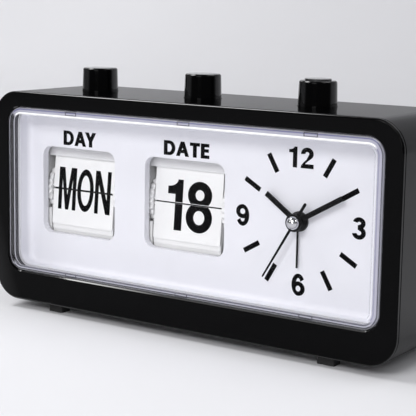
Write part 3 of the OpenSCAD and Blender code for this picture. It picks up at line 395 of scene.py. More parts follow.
finishes = {
    "blackGloss": ["front_bezel", "case_shell"],
    "buttonGloss": ["day_button", "date_button", "alarm_button"],
    "blackMoulded": ["rear_cover", "battery_door", "time_knob", "alarm_knob", "movement_case", "movement_nut",
                     "battery_tray", "alarm_switch", "buzzer"],
    "discGrey": ["alarm_button_disc"],
    "lensClear": ["lens"],
    "dialWhite": ["dial_plate"],
    "leafFilm": ["day_leaf_pack", "date_leaf_pack", "day_flip_leaf", "date_flip_leaf"],
    "lipFilm": ["day_leaf_lip", "date_leaf_lip"],
    "framePlastic": ["day_frame", "date_frame", "alarm_guide"],
    "drumWhite": ["day_drum", "date_drum"],
    "acetal": ["day_ratchet", "date_ratchet", "day_pawl", "date_pawl", "alarm_plunger"],
    "handPaint": ["hour_hand", "minute_hand", "second_hand", "alarm_hand"],
    "capChrome": ["hand_cap"],
    "brightSteel": ["day_axle", "date_axle", "day_detent", "date_detent", "day_spring", "date_spring",
                    "alarm_spring", "battery_spring", "battery_contact", "cover_screws", "frame_screws"],
    "turnedBrass": ["hour_pipe", "minute_pipe", "second_staff", "alarm_pipe", "time_shaft", "alarm_shaft"],
    "cellJacket": ["battery"],
    "footRubber": ["front_feet", "rear_feet"],
}
for look, names in finishes.items():
    for name in names:
        nodes[name].data.materials.clear()
        nodes[name].data.materials.append(looks[look])
print("finishes set:", sum(len(v) for v in finishes.values()))


# lettering

def addPiece(name, mesh, look, body):
    obj = linked(name, mesh)
    mesh.materials.clear()
    mesh.materials.append(looks[look])
    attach(obj, body)
    return obj


# letter shapes, each filling a box of its own width and height: t is an upright stroke, b a level one,
# and the plain numbers in them are shares of the width, height or stroke
def arc(cx, cy, rx, ry, start, end, steps=20):
    out = []
    for i in range(steps + 1):
        a = math.radians(start + (end - start) * i / steps)
        out.append((cx + rx * math.cos(a), cy + ry * math.sin(a)))
    return out


def glyphD(w, h, t, b):
    bend = min(0.62 * w, h / 2)
    outer = [(0, 0)] + arc(w - bend, h / 2, bend, h / 2, -90, 90) + [(0, h)]
    inner = [(t, b)] + arc(w - bend, h / 2, bend - t, h / 2 - b, -90, 90) + [(t, h - b)]
    return [outer, inner]


def glyphA(w, h, t, b):
    m = w / 2
    run = (m - t * 0.5) / h
    low, high = h * 0.22, h * 0.22 + b
    outer = [(0, 0), (t, 0), (t + run * low, low), (w - t - run * low, low), (w - t, 0), (w, 0),
             (m + t * 0.5, h), (m - t * 0.5, h)]
    inner = [(t + run * high, high), (w - t - run * high, high), (m, (m - t) / run)]
    return [outer, inner]


def glyphY(w, h, t, b):
    m = w / 2
    fork = h * 0.40
    return [[(m - t / 2, 0), (m + t / 2, 0), (m + t / 2, fork), (w, h), (w - t * 1.1, h), (m, fork + t),
             (t * 1.1, h), (0, h), (m - t / 2, fork)]]


def glyphT(w, h, t, b):
    m = w / 2
    return [[(m - t / 2, 0), (m + t / 2, 0), (m + t / 2, h - b), (w, h - b), (w, h), (0, h), (0, h - b),
             (m - t / 2, h - b)]]


def glyphE(w, h, t, b):
    low, high = h * 0.53 - b / 2, h * 0.53 + b / 2
    return [[(0, 0), (w, 0), (w, b), (t, b), (t, low), (w * 0.93, low), (w * 0.93, high), (t, high),
             (t, h - b), (w * 0.98, h - b), (w * 0.98, h), (0, h)]]


def glyphM(w, h, t, b):
    m = w / 2
    foot = t * 0.45
    return [[(0, 0), (t, 0), (t, h * 0.72), (m - foot, 0), (m + foot, 0), (w - t, h * 0.72), (w - t, 0),
             (w, 0), (w, h), (w - t * 1.55, h), (m, h * 0.337), (t * 1.55, h), (0, h)]]


def glyphN(w, h, t, b):
    return [[(0, 0), (t, 0), (t, h * 0.68), (w - t * 1.2, 0), (w, 0), (w, h), (w - t, h), (w - t, h * 0.32),
             (t * 1.2, h), (0, h)]]


def glyphU(w, h, t, b):
    r = w / 2
    deep = max(r, b * 1.6)
    outer = arc(r, deep, r, deep, 180, 360)
    inner = arc(r, deep, r - t, deep - b, 360, 180)
    return [[(0, h)] + outer + [(w, h), (w - t, h)] + inner + [(t, h)]]


def glyphO(w, h, t, b):
    return [arc(w / 2, h / 2, w / 2, h / 2, 0, 354, 59), arc(w / 2, h / 2, w / 2 - t, h / 2 - b, 0, 354, 59)]


def glyphOne(w, h, t, b):
    stem = w - t
    flag = h * 0.708
    reach = stem + t * 0.3
    return [[(stem, 0), (w, 0), (w, h), (reach, h)] + arc(0, h, reach, h * 0.142, -6, -84, 10)
            + [(0, h * 0.858), (0, flag), (stem, flag)]]


# angle on ellipse a where it first runs into (or out of) ellipse b, and the same spot's angle on b
def meeting(a, b, start, step):
    def inside(angle):
        x, y = a[0] + a[2] * math.cos(math.radians(angle)), a[1] + a[3] * math.sin(math.radians(angle))
        return ((x - b[0]) / b[2]) ** 2 + ((y - b[1]) / b[3]) ** 2 <= 1
    angle = start
    while inside(angle) == inside(start) and abs(angle - start) < 180:
        angle += step
    x, y = a[0] + a[2] * math.cos(math.radians(angle)), a[1] + a[3] * math.sin(math.radians(angle))
    return angle, math.degrees(math.atan2((y - b[1]) / b[3], (x - b[0]) / b[2]))


def bowls(w, h):
    top = (w / 2, h * 0.736, w * 0.46, h * 0.264)
    bottom = (w / 2, h * 0.297, w * 0.5, h * 0.297)
    return top, bottom


def thinner(bowl, t, b):
    return bowl[0], bowl[1], bowl[2] - t, bowl[3] - b


def glyphEight(w, h, t, b):
    top, bottom = bowls(w, h)
    high, low = meeting(top, bottom, 0, -0.1)
    outer = arc(*top, high, 180 - high, 40) + arc(*bottom, 180 - low, 360 + low, 40)
    return [outer, arc(*thinner(top, t, b), 0, 354, 40), arc(*thinner(bottom, t, b), 0, 354, 40)]


def glyphThree(w, h, t, b):
    top, bottom = bowls(w, h)
    high, low = meeting(top, bottom, 0, -0.1)
    line = arc(*top, 168, high, 26) + arc(*bottom, low, -172, 30)
    line += arc(*thinner(bottom, t, b), -172, 80, 24)
    line += [(w * 0.40, h * 0.455), (w * 0.40, h * 0.455 + b * 0.9)]
    line += arc(*thinner(top, t, b), -72, 168, 24)
    return [line]


def glyphTwo(w, h, t, b):
    bowl = (w * 0.5, h * 0.70, w * 0.48, h * 0.30)
    line = arc(*bowl, 186, -38, 26)
    line += [(w * 0.60, h * 0.37), (w * 0.40, h * 0.245), (w * 0.33, b), (w, b), (w, 0), (0, 0)]
    line += [(w * 0.05, h * 0.13), (w * 0.20, h * 0.265), (w * 0.46, h * 0.44)]
    line += arc(*thinner(bowl, t, b), -42, 186, 24)
    return [line]


def glyphSix(w, h, t, b):
    body = (w / 2, h * 0.5, w / 2, h * 0.5)
    bowl = (w / 2, h * 0.325, w / 2, h * 0.325)
    leave, enter = meeting(bowl, thinner(body, t, b), 90, 0.1)
    line = arc(*body, 33, 270, 40) + arc(*bowl, 270, 360 + leave, 40)
    line += arc(*thinner(body, t, b), enter, 30, 24)
    return [line, arc(*thinner(bowl, t, b), 0, 354, 32)]


def glyphNine(w, h, t, b):
    return [[(w - x, h - y) for x, y in line] for line in glyphSix(w, h, t, b)]


glyphs = {"D": glyphD, "A": glyphA, "Y": glyphY, "T": glyphT, "E": glyphE, "M": glyphM, "O": glyphO,
          "N": glyphN, "U": glyphU, "1": glyphOne, "2": glyphTwo, "3": glyphThree, "6": glyphSix,
          "8": glyphEight, "9": glyphNine}


# flat filled shape from closed outlines, a line inside another one is a hole
def fillLines(lines):
    curve = bpy.data.curves.new("word", "CURVE")
    curve.dimensions = "2D"
    curve.fill_mode = "BOTH"
    for line in lines:
        spline = curve.splines.new("POLY")
        spline.points.add(len(line) - 1)
        for point, (x, y) in zip(spline.points, line):
            point.co = (x, y, 0, 1)
        spline.use_cyclic_u = True
    return takeMesh(linked("word", curve))


# every letter of a word gets its left and right limits, the word one height
def wordMesh(item, word, limits):
    lines = []
    for letter, (left, right) in zip(word, limits):
        shape = glyphs[letter](right - left, item["high"] - item["low"], item["thick"], item["bar"])
        lines += [[(left + x, item["low"] + y) for x, y in line] for line in shape]
    return fillLines(lines)


# keeps one side of the split line, gives the print its thickness and lays it on a surface
def layPrint(flat, place, thick, keepAbove=None, keepBelow=None):
    bm = bmesh.new()
    bm.from_mesh(flat)
    bmesh.ops.remove_doubles(bm, verts=bm.verts, dist=1e-5)
    for limit, side in ((keepAbove, 1), (keepBelow, -1)):
        if limit is not None:
            geom = bm.verts[:] + bm.edges[:] + bm.faces[:]
            bmesh.ops.bisect_plane(bm, geom=geom, plane_co=(0, limit, 0), plane_no=(0, side, 0),
                                   clear_inner=True)
    raised = bmesh.ops.extrude_face_region(bm, geom=bm.faces[:])
    for v in raised["geom"]:
        if isinstance(v, bmesh.types.BMVert):
            v.co.z = thick
    for v in bm.verts:
        v.co = place(v.co.x, v.co.y, v.co.z)
    return closeMesh(bm, "print")


dial = {"d": 11.0, "x": 45.4, "h": 44.2, "print": 0.05, "hours": 12, "numeralEvery": 3,
        "markIn": 19.2, "markOut": 26.5, "markWide": 1.85}
dialWords = [
    {"name": "numeralTwelve", "word": "12", "low": 63.1, "high": 70.45, "thick": 1.75, "bar": 1.55,
     "limits": [(40.4, 43.75), (45.15, 50.4)]},
    {"name": "numeralThree", "word": "3", "low": 40.5, "high": 48.25, "thick": 1.75, "bar": 1.55,
     "limits": [(66.3, 71.6)]},
    {"name": "numeralSix", "word": "6", "low": 17.4, "high": 25.4, "thick": 1.75, "bar": 1.55,
     "limits": [(42.8, 48.25)]},
    {"name": "numeralNine", "word": "9", "low": 39.9, "high": 47.8, "thick": 1.75, "bar": 1.55,
     "limits": [(18.7, 24.35)]},
    {"name": "labelDay", "word": "DAY", "low": 62.7, "high": 68.45, "thick": 1.7, "bar": 1.25,
     "limits": [(-63.5, -58.2), (-57.9, -52.0), (-52.5, -46.95)]},
    {"name": "labelDate", "word": "DATE", "low": 62.9, "high": 68.4, "thick": 1.7, "bar": 1.25,
     "limits": [(-14.2, -8.9), (-8.55, -2.65), (-2.3, 2.25), (2.65, 6.5)]},
]


def onDial(x, h, out):
    return spot(x, dial["d"] - out, h)


for item in dialWords:
    flat = wordMesh(item, item["word"], item["limits"])
    addPiece(item["name"], layPrint(flat, onDial, dial["print"]), "ink", "case")


# node trees

def newTree(name, inputs):
    tree = bpy.data.node_groups.new(name, "GeometryNodeTree")
    tree.interface.new_socket("Geometry", in_out="OUTPUT", socket_type="NodeSocketGeometry")
    for label, kind in inputs.items():
        tree.interface.new_socket(label, in_out="INPUT", socket_type="NodeSocket" + kind)
    given = tree.nodes.new("NodeGroupInput").outputs
    return tree, tree.nodes.new, tree.links.new, given


# instances made real and the finish set on them
def endTree(tree, geometry, finish):
    solid = tree.nodes.new("GeometryNodeRealizeInstances")
    tree.links.new(geometry, solid.inputs[0])
    coated = tree.nodes.new("GeometryNodeSetMaterial")
    tree.links.new(solid.outputs[0], coated.inputs["Geometry"])
    tree.links.new(finish, coated.inputs["Material"])
    result = tree.nodes.new("NodeGroupOutput")
    tree.links.new(coated.outputs[0], result.inputs[0])
    return tree


# runs a tree with its named inputs, on loose points if some are given, and returns the plain mesh
def grow(tree, values, points=()):
    mesh = bpy.data.meshes.new("grow")
    mesh.from_pydata([(x, y, 0) for x, y in points], [], [])
    holder = linked("grow", mesh)
    mod = holder.modifiers.new("nodes", "NODES")
    mod.node_group = tree
    for item in tree.interface.items_tree:
        if item.in_out == "INPUT" and item.name in values:
            mod[item.identifier] = values[item.name]
    return takeMesh(holder)


# hour bars round the dial, none where a numeral stands
def barTree():
    tree, add, link, given = newTree("hourBars", {
        "Inner Radius": "Float", "Outer Radius": "Float", "Bar Width": "Float", "Bar Height": "Float",
        "Ink": "Material"})
    inner, outer = given["Inner Radius"], given["Outer Radius"]
    ring = add("GeometryNodeMeshCircle")
    ring.inputs["Vertices"].default_value = dial["hours"]
    link(addMath(tree, "MULTIPLY", addMath(tree, "ADD", inner, outer), 0.5), ring.inputs["Radius"])
    size = add("ShaderNodeCombineXYZ")
    link(addMath(tree, "SUBTRACT", outer, inner), size.inputs["X"])
    link(given["Bar Width"], size.inputs["Y"])
    link(given["Bar Height"], size.inputs["Z"])
    bar = add("GeometryNodeMeshCube")
    link(size.outputs[0], bar.inputs["Size"])
    number = add("GeometryNodeInputIndex").outputs[0]
    between = add("FunctionNodeCompare")
    between.operation = "GREATER_THAN"
    between.inputs[1].default_value = 0.5
    link(addMath(tree, "MODULO", number, dial["numeralEvery"]), between.inputs[0])
    turn = add("ShaderNodeCombineXYZ")
    link(addMath(tree, "MULTIPLY", number, math.tau / dial["hours"]), turn.inputs["Z"])
    spread = add("GeometryNodeInstanceOnPoints")
    link(ring.outputs["Mesh"], spread.inputs["Points"])
    link(between.outputs[0], spread.inputs["Selection"])
    link(bar.outputs["Mesh"], spread.inputs["Instance"])
    link(turn.outputs[0], spread.inputs["Rotation"])
    return endTree(tree, spread.outputs[0], given["Ink"])


bars = grow(barTree(), {"Inner Radius": dial["markIn"], "Outer Radius": dial["markOut"],
                        "Bar Width": dial["markWide"], "Bar Height": dial["print"], "Ink": looks["ink"]})
for v in bars.vertices:
    v.co = onDial(dial["x"] + v.co.x, dial["h"] + v.co.y, v.co.z + dial["print"] / 2)
bars.update()
addPiece("hourBars", bars, "ink", "case")
print("dial printed")

# second hand: a tapered needle with a tail, and a black boss round the bright cap
second = {"front": 7.25, "back": 7.5, "long": 24.6, "tail": 8.4, "hubWide": 0.5, "tipWide": 0.3,
          "tipEnd": 0.15, "tipRun": 0.5, "tailWide": 0.55, "tailEnd": 0.33, "tailRun": 0.4, "boss": 3.2,
          "bossFront": 6.3, "bore": 2.45, "lip": 0.25, "steps": 48, "way": (-0.5178, -0.8555)}


def secondMesh():
    bm = bmesh.new()
    along = Vector(second["way"]).normalized()
    side = Vector((-along.y, along.x))

    def at(run, off, d):
        place = along * run + side * off
        return spot(dial["x"] + place.x, d, dial["h"] + place.y)

    edge = [(-second["tail"], second["tailEnd"]), (second["tailRun"] - second["tail"], second["tailWide"]),
            (0, second["hubWide"]), (second["long"] - second["tipRun"], second["tipWide"]),
            (second["long"], second["tipEnd"])]
    plan = edge + [(run, -off) for run, off in reversed(edge)]
    sides = [[bm.verts.new(at(run, off, second[face])) for run, off in plan] for face in ("front", "back")]
    plate(bm, *sides)
    boss, bore, lip = second["boss"], second["bore"], second["lip"]
    back, front = second["back"], second["bossFront"]
    line = [(bore, back), (boss - lip, back), (boss, back - lip), (boss, front + lip), (boss - lip, front),
            (bore, front)]
    turns = [math.tau * i / second["steps"] for i in range(second["steps"])]
    rings = []
    for r, d in line:
        rings.append([bm.verts.new(spot(dial["x"] + r * math.cos(a), d, dial["h"] + r * math.sin(a)))
                      for a in turns])
    for here, after in zip(rings, rings[1:] + rings[:1]):
        bridge(bm, here, after)
    return closeMesh(bm, "secondHand")


obj = addPiece("secondHand", secondMesh(), "handPaint", "second_work")
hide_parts("second_hand")
print("second hand set")

# printed leaves: the upper half falls with its leaf, the lower half stays on the drum until the next step
drum = {"d": 25.8, "h": 43.55, "pinCircle": 10.0, "firstPin": 0.8, "lean": 5.0, "tilt": 4.7, "thick": 0.18,
        "print": 0.03, "split": 44.22, "gap": 0.35, "nextGap": 0.8}
calendars = {
    "day": {"leaves": 28, "low": 35.9, "high": 52.9, "thick": 1.85, "bar": 2.5, "now": "MON", "next": "TUE",
            "nowLimits": [(-70.2, -61.1), (-60.5, -52.1), (-51.4, -43.5)],
            "nextLimits": [(-69.2, -61.2), (-60.5, -52.1), (-51.2, -44.4)]},
    "date": {"leaves": 31, "low": 33.8, "high": 53.2, "thick": 3.5, "bar": 3.1, "now": "18", "next": "19",
             "nowLimits": [(-15.7, -8.7), (-6.9, 5.1)], "nextLimits": [(-15.7, -8.7), (-6.9, 5.1)]},
}


def leafPin(leaves, k):
    angle = math.radians((k + drum["firstPin"]) * 360 / leaves)
    return drum["d"] - drum["pinCircle"] * math.cos(angle), drum["h"] + drum["pinCircle"] * math.sin(angle)


# a hanging leaf tilts more the further its pin is past the bottom of the drum
def hangTilt(leaves, k):
    angle = 360 + (k + drum["firstPin"]) * 360 / leaves
    return math.radians(drum["tilt"] * (angle - 270) / 90)


# place on a leaf that leans back by the angle: along is measured from its pin towards its tip
def onLeaf(pin, lean, zero, sign, face):
    up = (math.sin(lean), math.cos(lean))
    out = (-math.cos(lean), math.sin(lean))

    def place(x, h, lift):
        along = (h - zero) * sign
        away = face * (drum["thick"] / 2 + lift)
        return spot(x, pin[0] + up[0] * along + out[0] * away, pin[1] + up[1] * along + out[1] * away)
    return place


for name, cal in calendars.items():
    n = cal["leaves"]
    upperPin, lowerPin, nextPin = (leafPin(n, k) for k in (0, -1, 1))
    pitch = 360 / n
    lean = math.radians(drum["firstPin"] * pitch - drum["lean"])
    nextLean = lean + math.radians(pitch)
    lowerLean = hangTilt(n, -1) - math.pi
    falling = name + "_leaf_falling"
    turning = name + "_drum_turning"
    nowWord = wordMesh(cal, cal["now"], cal["nowLimits"])
    nextWord = wordMesh(cal, cal["next"], cal["nextLimits"])
    over, under = drum["split"] + drum["gap"], drum["split"] - drum["gap"]
    prints = {
        "PrintUpper": (nowWord, onLeaf(upperPin, lean, upperPin[1], 1, 1), over, None, falling),
        "PrintLower": (nowWord, onLeaf(lowerPin, lowerLean, lowerPin[1], -1, -1), None, under, turning),
        "NextUpper": (nextWord, onLeaf(nextPin, nextLean, upperPin[1], 1, 1),
                      drum["split"] + drum["nextGap"], None, turning),
        "NextLower": (nextWord, onLeaf(upperPin, lean, lowerPin[1], -1, -1), None, under, falling),
    }
    for part, (flat, place, keepAbove, keepBelow, body) in prints.items():
        mesh = layPrint(flat, place, drum["print"], keepAbove, keepBelow)
        addPiece(name + part, mesh, "ink", body)
print("leaves printed")

# tips of the two leaves next in the hanging pack, showing below the front ones
tips = {"half": 15.5, "corner": 0.8, "top": 31.0, "middle": {"day": -57.3, "date": -6.15},
        "sheets": [(0.3, 26.5), (0.55, 25.3)]}


def tipMesh(middle, pin, slope):
    bm = bmesh.new()
    half, corner, top = tips["half"], tips["corner"], tips["top"]
    for back, low in tips["sheets"]:
        line = [(-half, top)] + arc(-half + corner, low + corner, corner, corner, 180, 270, 6)
        line += arc(half - corner, low + corner, corner, corner, 270, 360, 6) + [(half, top)]
        sides = []
        for face in (-0.5, 0.5):
            away = pin[0] + back + face * drum["thick"]
            sides.append([bm.verts.new(spot(middle + x, away + (h - pin[1]) * slope, h)) for x, h in line])
        plate(bm, *sides)
    return closeMesh(bm, "tips")


for name, cal in calendars.items():
    n = cal["leaves"]
    mesh = tipMesh(tips["middle"][name], leafPin(n, -2), math.tan(hangTilt(n, -2)))
    addPiece(name + "LeafTips", mesh, "leafFilm", name + "_drum_turning")
print("leaf tips set")

# black fluted sleeve inside each drum, a dark stand-in for the shade of the drum's interior (painted shade),
# seen as the dark line between two leaves
shadeSleeve = {"outer": 8.9, "flute": 0.35, "inner": 8.1, "flutes": 42, "end": 2.0}


def shadeSleeveMesh(low, high):
    bm = bmesh.new()
    outer, inner, flute = shadeSleeve["outer"], shadeSleeve["inner"], shadeSleeve["flute"]
    count = shadeSleeve["flutes"] * 2
    rings = []
    for x, radius, deep in ((low, outer, flute), (high, outer, flute), (high, inner, 0), (low, inner, 0)):
        ring = []
        for i in range(count):
            r = radius - deep * (i % 2)
            a = math.tau * i / count
            ring.append(bm.verts.new(spot(x, drum["d"] + r * math.cos(a), drum["h"] + r * math.sin(a))))
        rings.append(ring)
    for here, after in zip(rings, rings[1:] + rings[:1]):
        bridge(bm, here, after)
    return closeMesh(bm, "shadeSleeve")


for name in calendars:
    low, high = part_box(name + "_drum")
    mesh = shadeSleeveMesh(low.x * 1000 + shadeSleeve["end"], high.x * 1000 - shadeSleeve["end"])
    addPiece(name + "Core", mesh, "coreBlack", name + "_drum_turning")
print("drum cores set")

# press is the stroke that shortens the coil, seat the share of a wire radius kept free at each end
wire = {"radius": 0.35, "seat": 1.02, "steps": 28, "sides": 10}
coils = {
    "day_spring": {"name": "dayCoil", "axis": "Z", "turns": 6.0, "joint": "day_press", "press": 2.2},
    "date_spring": {"name": "dateCoil", "axis": "Z", "turns": 6.0, "joint": "date_press", "press": 2.2},
    "alarm_spring": {"name": "alarmCoil", "axis": "Z", "turns": 3.5, "joint": "alarm_press", "press": 2.2},
    "battery_spring": {"name": "cellCoil", "axis": "X", "turns": 2.5, "joint": None, "press": 0},
}


# wire coil, closer wound towards its ends
def coilTree():
    tree, add, link, given = newTree("wireCoil", {
        "Coil Radius": "Float", "Wire Radius": "Float", "Turns": "Float", "Height": "Float",
        "Steel": "Material"})
    spiral = add("GeometryNodeCurveSpiral")
    spiral.inputs["Resolution"].default_value = wire["steps"]
    spiral.inputs["Height"].default_value = 0
    link(given["Turns"], spiral.inputs["Rotations"])
    link(given["Coil Radius"], spiral.inputs["Start Radius"])
    link(given["Coil Radius"], spiral.inputs["End Radius"])
    share = add("GeometryNodeSplineParameter")
    climb = add("ShaderNodeMapRange")
    climb.interpolation_type = "SMOOTHSTEP"
    link(share.outputs["Factor"], climb.inputs["Value"])
    link(given["Height"], climb.inputs["To Max"])
    lift = add("ShaderNodeCombineXYZ")
    link(climb.outputs["Result"], lift.inputs["Z"])
    raised = add("GeometryNodeSetPosition")
    link(spiral.outputs["Curve"], raised.inputs["Geometry"])
    link(lift.outputs[0], raised.inputs["Offset"])
    section = add("GeometryNodeCurvePrimitiveCircle")
    section.inputs["Resolution"].default_value = wire["sides"]
    link(given["Wire Radius"], section.inputs["Radius"])
    tube = add("GeometryNodeCurveToMesh")
    tube.inputs["Fill Caps"].default_value = True
    link(raised.outputs["Geometry"], tube.inputs["Curve"])
    link(section.outputs["Curve"], tube.inputs["Profile Curve"])
    smooth = add("GeometryNodeSetShadeSmooth")
    link(tube.outputs["Mesh"], smooth.inputs["Geometry"])
    return endTree(tree, smooth.outputs["Geometry"], given["Steel"])


tree = coilTree()
seat = wire["radius"] * wire["seat"]
for node, coil in coils.items():
    low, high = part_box(node)
    low, high = low * 1000, high * 1000
    middle = (low + high) / 2
    upright = coil["axis"] == "Z"
    length = high.z - low.z if upright else high.x - low.x
    radius = (high.y - low.y) / 2 - wire["radius"]
    mesh = grow(tree, {"Coil Radius": radius, "Wire Radius": wire["radius"], "Turns": coil["turns"],
                       "Height": length - seat * 2, "Steel": looks["brightSteel"]})
    for v in mesh.vertices:
        a, b, c = v.co.x, v.co.y, v.co.z + seat
        if upright:
            v.co = Vector((middle.x + a, middle.y + b, low.z + c)) * mm
        else:
            v.co = Vector((low.x + c, middle.y + a, middle.z + b)) * mm
    faceOut(mesh)
    obj = addPiece(coil["name"], mesh, "brightSteel", "case")
    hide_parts(node)
    if coil["joint"]:
        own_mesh(obj)
print("coils wound")

# turned screws with a rolled thread and a cross recess, heads to the rear
screws = {
    "cover_screws": {"name": "coverScrews", "faceDepth": 51.5, "head": 2.6, "headThick": 1.1, "shank": 1.3,
                     "length": 9.0, "thread": 0.75, "seed": 4,
                     "at": [(-79, 11), (79, 11), (-79, 72.6), (79, 72.6)]},
    "frame_screws": {"name": "frameScrews", "faceDepth": 17.2, "head": 1.5, "headThick": 1.0, "shank": 0.8,
                     "length": 4.6, "thread": 0.5, "seed": 9,
                     "at": [(-79.4, 65.35), (-79.4, 23.05), (-35.2, 23.05), (-28.25, 65.35), (-28.25, 23.05),
                            (15.95, 23.05)]},
}
# shares: the head line of head radius and thickness, the rest of the shank, thread root and head
screwForm = {"headLine": [(0.55, 0), (0.80, 0.08), (0.95, 0.3), (1.0, 0.6), (1.0, 1.0)], "root": 0.74,
             "shoulder": 0.9, "point": 0.25, "sides": 32}
recess = {"wide": 0.26, "arm": 1.15, "deep": 0.6, "floor": 0.25, "mouth": 0.5, "proud": 0.05}


def lathe(bm, line, steps):
    turns = [math.tau * i / steps for i in range(steps)]
    rings = [[bm.verts.new((r * math.cos(a), r * math.sin(a), z)) for a in turns] for r, z in line]
    for here, after in zip(rings, rings[1:]):
        bridge(bm, here, after)
    bm.faces.new(rings[0])
    bm.faces.new(rings[-1])


# head up along Z with its face at zero
def screwMesh(item):
    head, thick, shank, thread = item["head"], item["headThick"], item["shank"], item["thread"]
    line = [(head * wide, -thick * deep) for wide, deep in screwForm["headLine"]]
    root = shank * screwForm["root"]
    tip = -thick - item["length"]
    z = -thick
    line.append((root, z))
    while z - thread > tip + shank:
        line += [(shank, z - thread * 0.5), (root, z - thread)]
        z -= thread
    line += [(root, tip + shank * screwForm["shoulder"]), (root * screwForm["point"], tip)]
    bm = bmesh.new()
    lathe(bm, line, screwForm["sides"])
    bodyObj = linked("screw", closeMesh(bm, "screw"))
    bm = bmesh.new()
    wide, arm = head * recess["wide"], head * recess["arm"]
    plan = [(-arm, -wide), (-wide, -wide), (-wide, -arm), (wide, -arm), (wide, -wide), (arm, -wide),
            (arm, wide), (wide, wide), (wide, arm), (-wide, arm), (-wide, wide), (-arm, wide)]
    sides = []
    for share, z in ((recess["floor"], -thick * recess["deep"]), (recess["mouth"], recess["proud"])):
        sides.append([bm.verts.new((x * share, y * share, z)) for x, y in plan])
    plate(bm, *sides)
    cutObj = linked("recess", closeMesh(bm, "recess"))
    mod = bodyObj.modifiers.new("cut", "BOOLEAN")
    mod.operation = "DIFFERENCE"
    mod.object = cutObj
    mesh = takeMesh(bodyObj)
    bpy.data.objects.remove(cutObj)
    return mesh


# screws stand on the points of the holder's mesh, each turned by chance
def screwTree():
    tree, add, link, given = newTree("screwSet", {
        "Geometry": "Geometry", "Screw": "Object", "Seed": "Int", "Steel": "Material"})
    screw = add("GeometryNodeObjectInfo")
    link(given["Screw"], screw.inputs["Object"])
    chance = add("FunctionNodeRandomValue")
    chance.data_type = "FLOAT"
    chance.inputs[3].default_value = math.tau
    link(given["Seed"], chance.inputs["Seed"])
    turn = add("ShaderNodeCombineXYZ")
    link(chance.outputs[1], turn.inputs["Z"])
    spread = add("GeometryNodeInstanceOnPoints")
    link(given["Geometry"], spread.inputs["Points"])
    link(screw.outputs["Geometry"], spread.inputs["Instance"])
    link(turn.outputs[0], spread.inputs["Rotation"])
    return endTree(tree, spread.outputs[0], given["Steel"])


tree = screwTree()
for node, item in screws.items():
    one = linked("oneScrew", screwMesh(item))
    mesh = grow(tree, {"Screw": one, "Seed": item["seed"], "Steel": looks["brightSteel"]}, item["at"])
    bpy.data.objects.remove(one)
    for v in mesh.vertices:
        v.co = spot(v.co.x, item["faceDepth"] + v.co.z, v.co.y)
    faceOut(mesh)
    obj = addPiece(item["name"], mesh, "brightSteel", "case")
    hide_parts(node)
print("screws set")

# studio
camera = {"lens": 112.84, "sensor": 36, "near": 0.01, "far": 20, "place": (0.27416, -0.40582, 0.12628),
          "yaw": 34.43, "pitch": 9.35, "roll": 0.95}
yaw, pitchDown, roll = (math.radians(camera[k]) for k in ("yaw", "pitch", "roll"))
level = math.cos(pitchDown)
ahead = Vector((-math.sin(yaw) * level, math.cos(yaw) * level, -math.sin(pitchDown)))
right = Vector((math.cos(yaw), math.sin(yaw), 0))
above = right.cross(ahead)
camRight = right * math.cos(roll) + above * math.sin(roll)
camUp = above * math.cos(roll) - right * math.sin(roll)
camData = bpy.data.cameras.new("camera")
camData.lens = camera["lens"]
camData.sensor_width = camera["sensor"]
camData.clip_start = camera["near"]
camData.clip_end = camera["far"]
camObj = linked("camera", camData)
camObj.matrix_world = Matrix((
    (camRight.x, camUp.x, -ahead.x, camera["place"][0]),
    (camRight.y, camUp.y, -ahead.y, camera["place"][1]),
    (camRight.z, camUp.z, -ahead.z, camera["place"][2]),
    (0, 0, 0, 1)))
bpy.context.scene.camera = camObj

# floor that sweeps up into the backdrop, a hair below the feet
sweep = {"front": -1.6, "back": 0.9, "wide": 3.0, "bend": 0.5, "bendSteps": 16, "tall": 1.8, "drop": 0.00005,
         "colour": (0.80, 0.80, 0.825), "drift": 0.985}


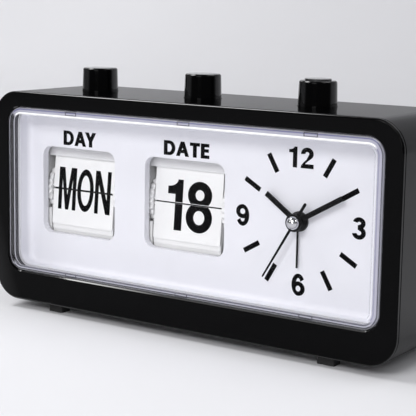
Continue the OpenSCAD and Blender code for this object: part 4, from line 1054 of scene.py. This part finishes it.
def makeSweep():
    line = [(sweep["front"], 0.0), (0.0, 0.0)]
    for i in range(sweep["bendSteps"] + 1):
        a = math.pi / 2 * i / sweep["bendSteps"]
        line.append((sweep["back"] + sweep["bend"] * math.sin(a), sweep["bend"] * (1 - math.cos(a))))
    line.append((sweep["back"] + sweep["bend"], sweep["tall"]))
    bm = bmesh.new()
    rows = []
    for x in (-sweep["wide"], sweep["wide"]):
        rows.append([bm.verts.new((x, y, z - sweep["drop"])) for y, z in line])
    for i in range(len(line) - 1):
        face = bm.faces.new((rows[0][i], rows[1][i], rows[1][i + 1], rows[0][i + 1]))
        face.smooth = True
    mesh = bpy.data.meshes.new("floor")
    bm.to_mesh(mesh)
    bm.free()
    obj = linked("floor", mesh)
    mat, tree, shader, place = newLook("floorPaper")
    tone = addNoise(tree, place, 3)
    dim = tuple(c * sweep["drift"] for c in sweep["colour"])
    tree.links.new(addBlend(tree, tone, dim, sweep["colour"]), shader.inputs["Base Color"])
    shader.inputs["Roughness"].default_value = 0.7
    shader.inputs["Specular IOR Level"].default_value = 0.1
    mesh.materials.append(mat)
    obj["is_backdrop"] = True


makeSweep()

lamps = {
    "keyFront": {"place": (0.08, -1.1, 0.72), "aim": (0, 0, 0.04), "size": (0.6, 0.4), "power": 6.8},
    "fillLow": {"place": (0.25, -1.25, 0.25), "aim": (0, 0, 0.04), "size": (0.5, 0.3), "power": 2.0},
    "panelTop": {"place": (-0.66, -0.18, 1.0), "aim": (0, 0, 0.07), "size": (0.6, 0.4), "power": 7.0},
    "stripLeft": {"place": (-0.75, -0.95, 0.62), "aim": (0, 0, 0.07), "size": (0.1, 0.4), "power": 1.0},
    "panelRight": {"place": (0.95, -0.30, 0.80), "aim": (0, 0, 0.07), "size": (0.14, 0.4), "power": 1.6},
    "backTop": {"place": (0.45, 0.35, 1.15), "aim": (0.1, 0.1, 0), "size": (0.7, 0.7), "power": 2.6},
    "backdropLeft": {"place": (-1.3, 0.7, 0.9), "aim": (-1.25, 1.2, 0.05), "size": (0.5, 0.5), "power": 4.8},
}
for name, lamp in lamps.items():
    data = bpy.data.lights.new(name, "AREA")
    data.shape = "RECTANGLE"
    data.size, data.size_y = lamp["size"]
    data.energy = lamp["power"]
    obj = linked(name, data)
    obj.location = lamp["place"]
    aim = Vector(lamp["aim"]) - obj.location
    obj.rotation_euler = aim.to_track_quat("-Z", "Y").to_euler()

studio = {"colour": (0.86, 0.865, 0.89, 1), "strength": 0.24}
world = bpy.data.worlds.new("studio")
world.use_nodes = True
backdrop = world.node_tree.nodes["Background"]
backdrop.inputs["Color"].default_value = studio["colour"]
backdrop.inputs["Strength"].default_value = studio["strength"]
bpy.context.scene.world = world
bpy.context.scene.view_settings.view_transform = "Standard"
print("studio set")

low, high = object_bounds()
{"cad": [list(cadLow), list(cadHigh)], "visual": [list(low), list(high)]}
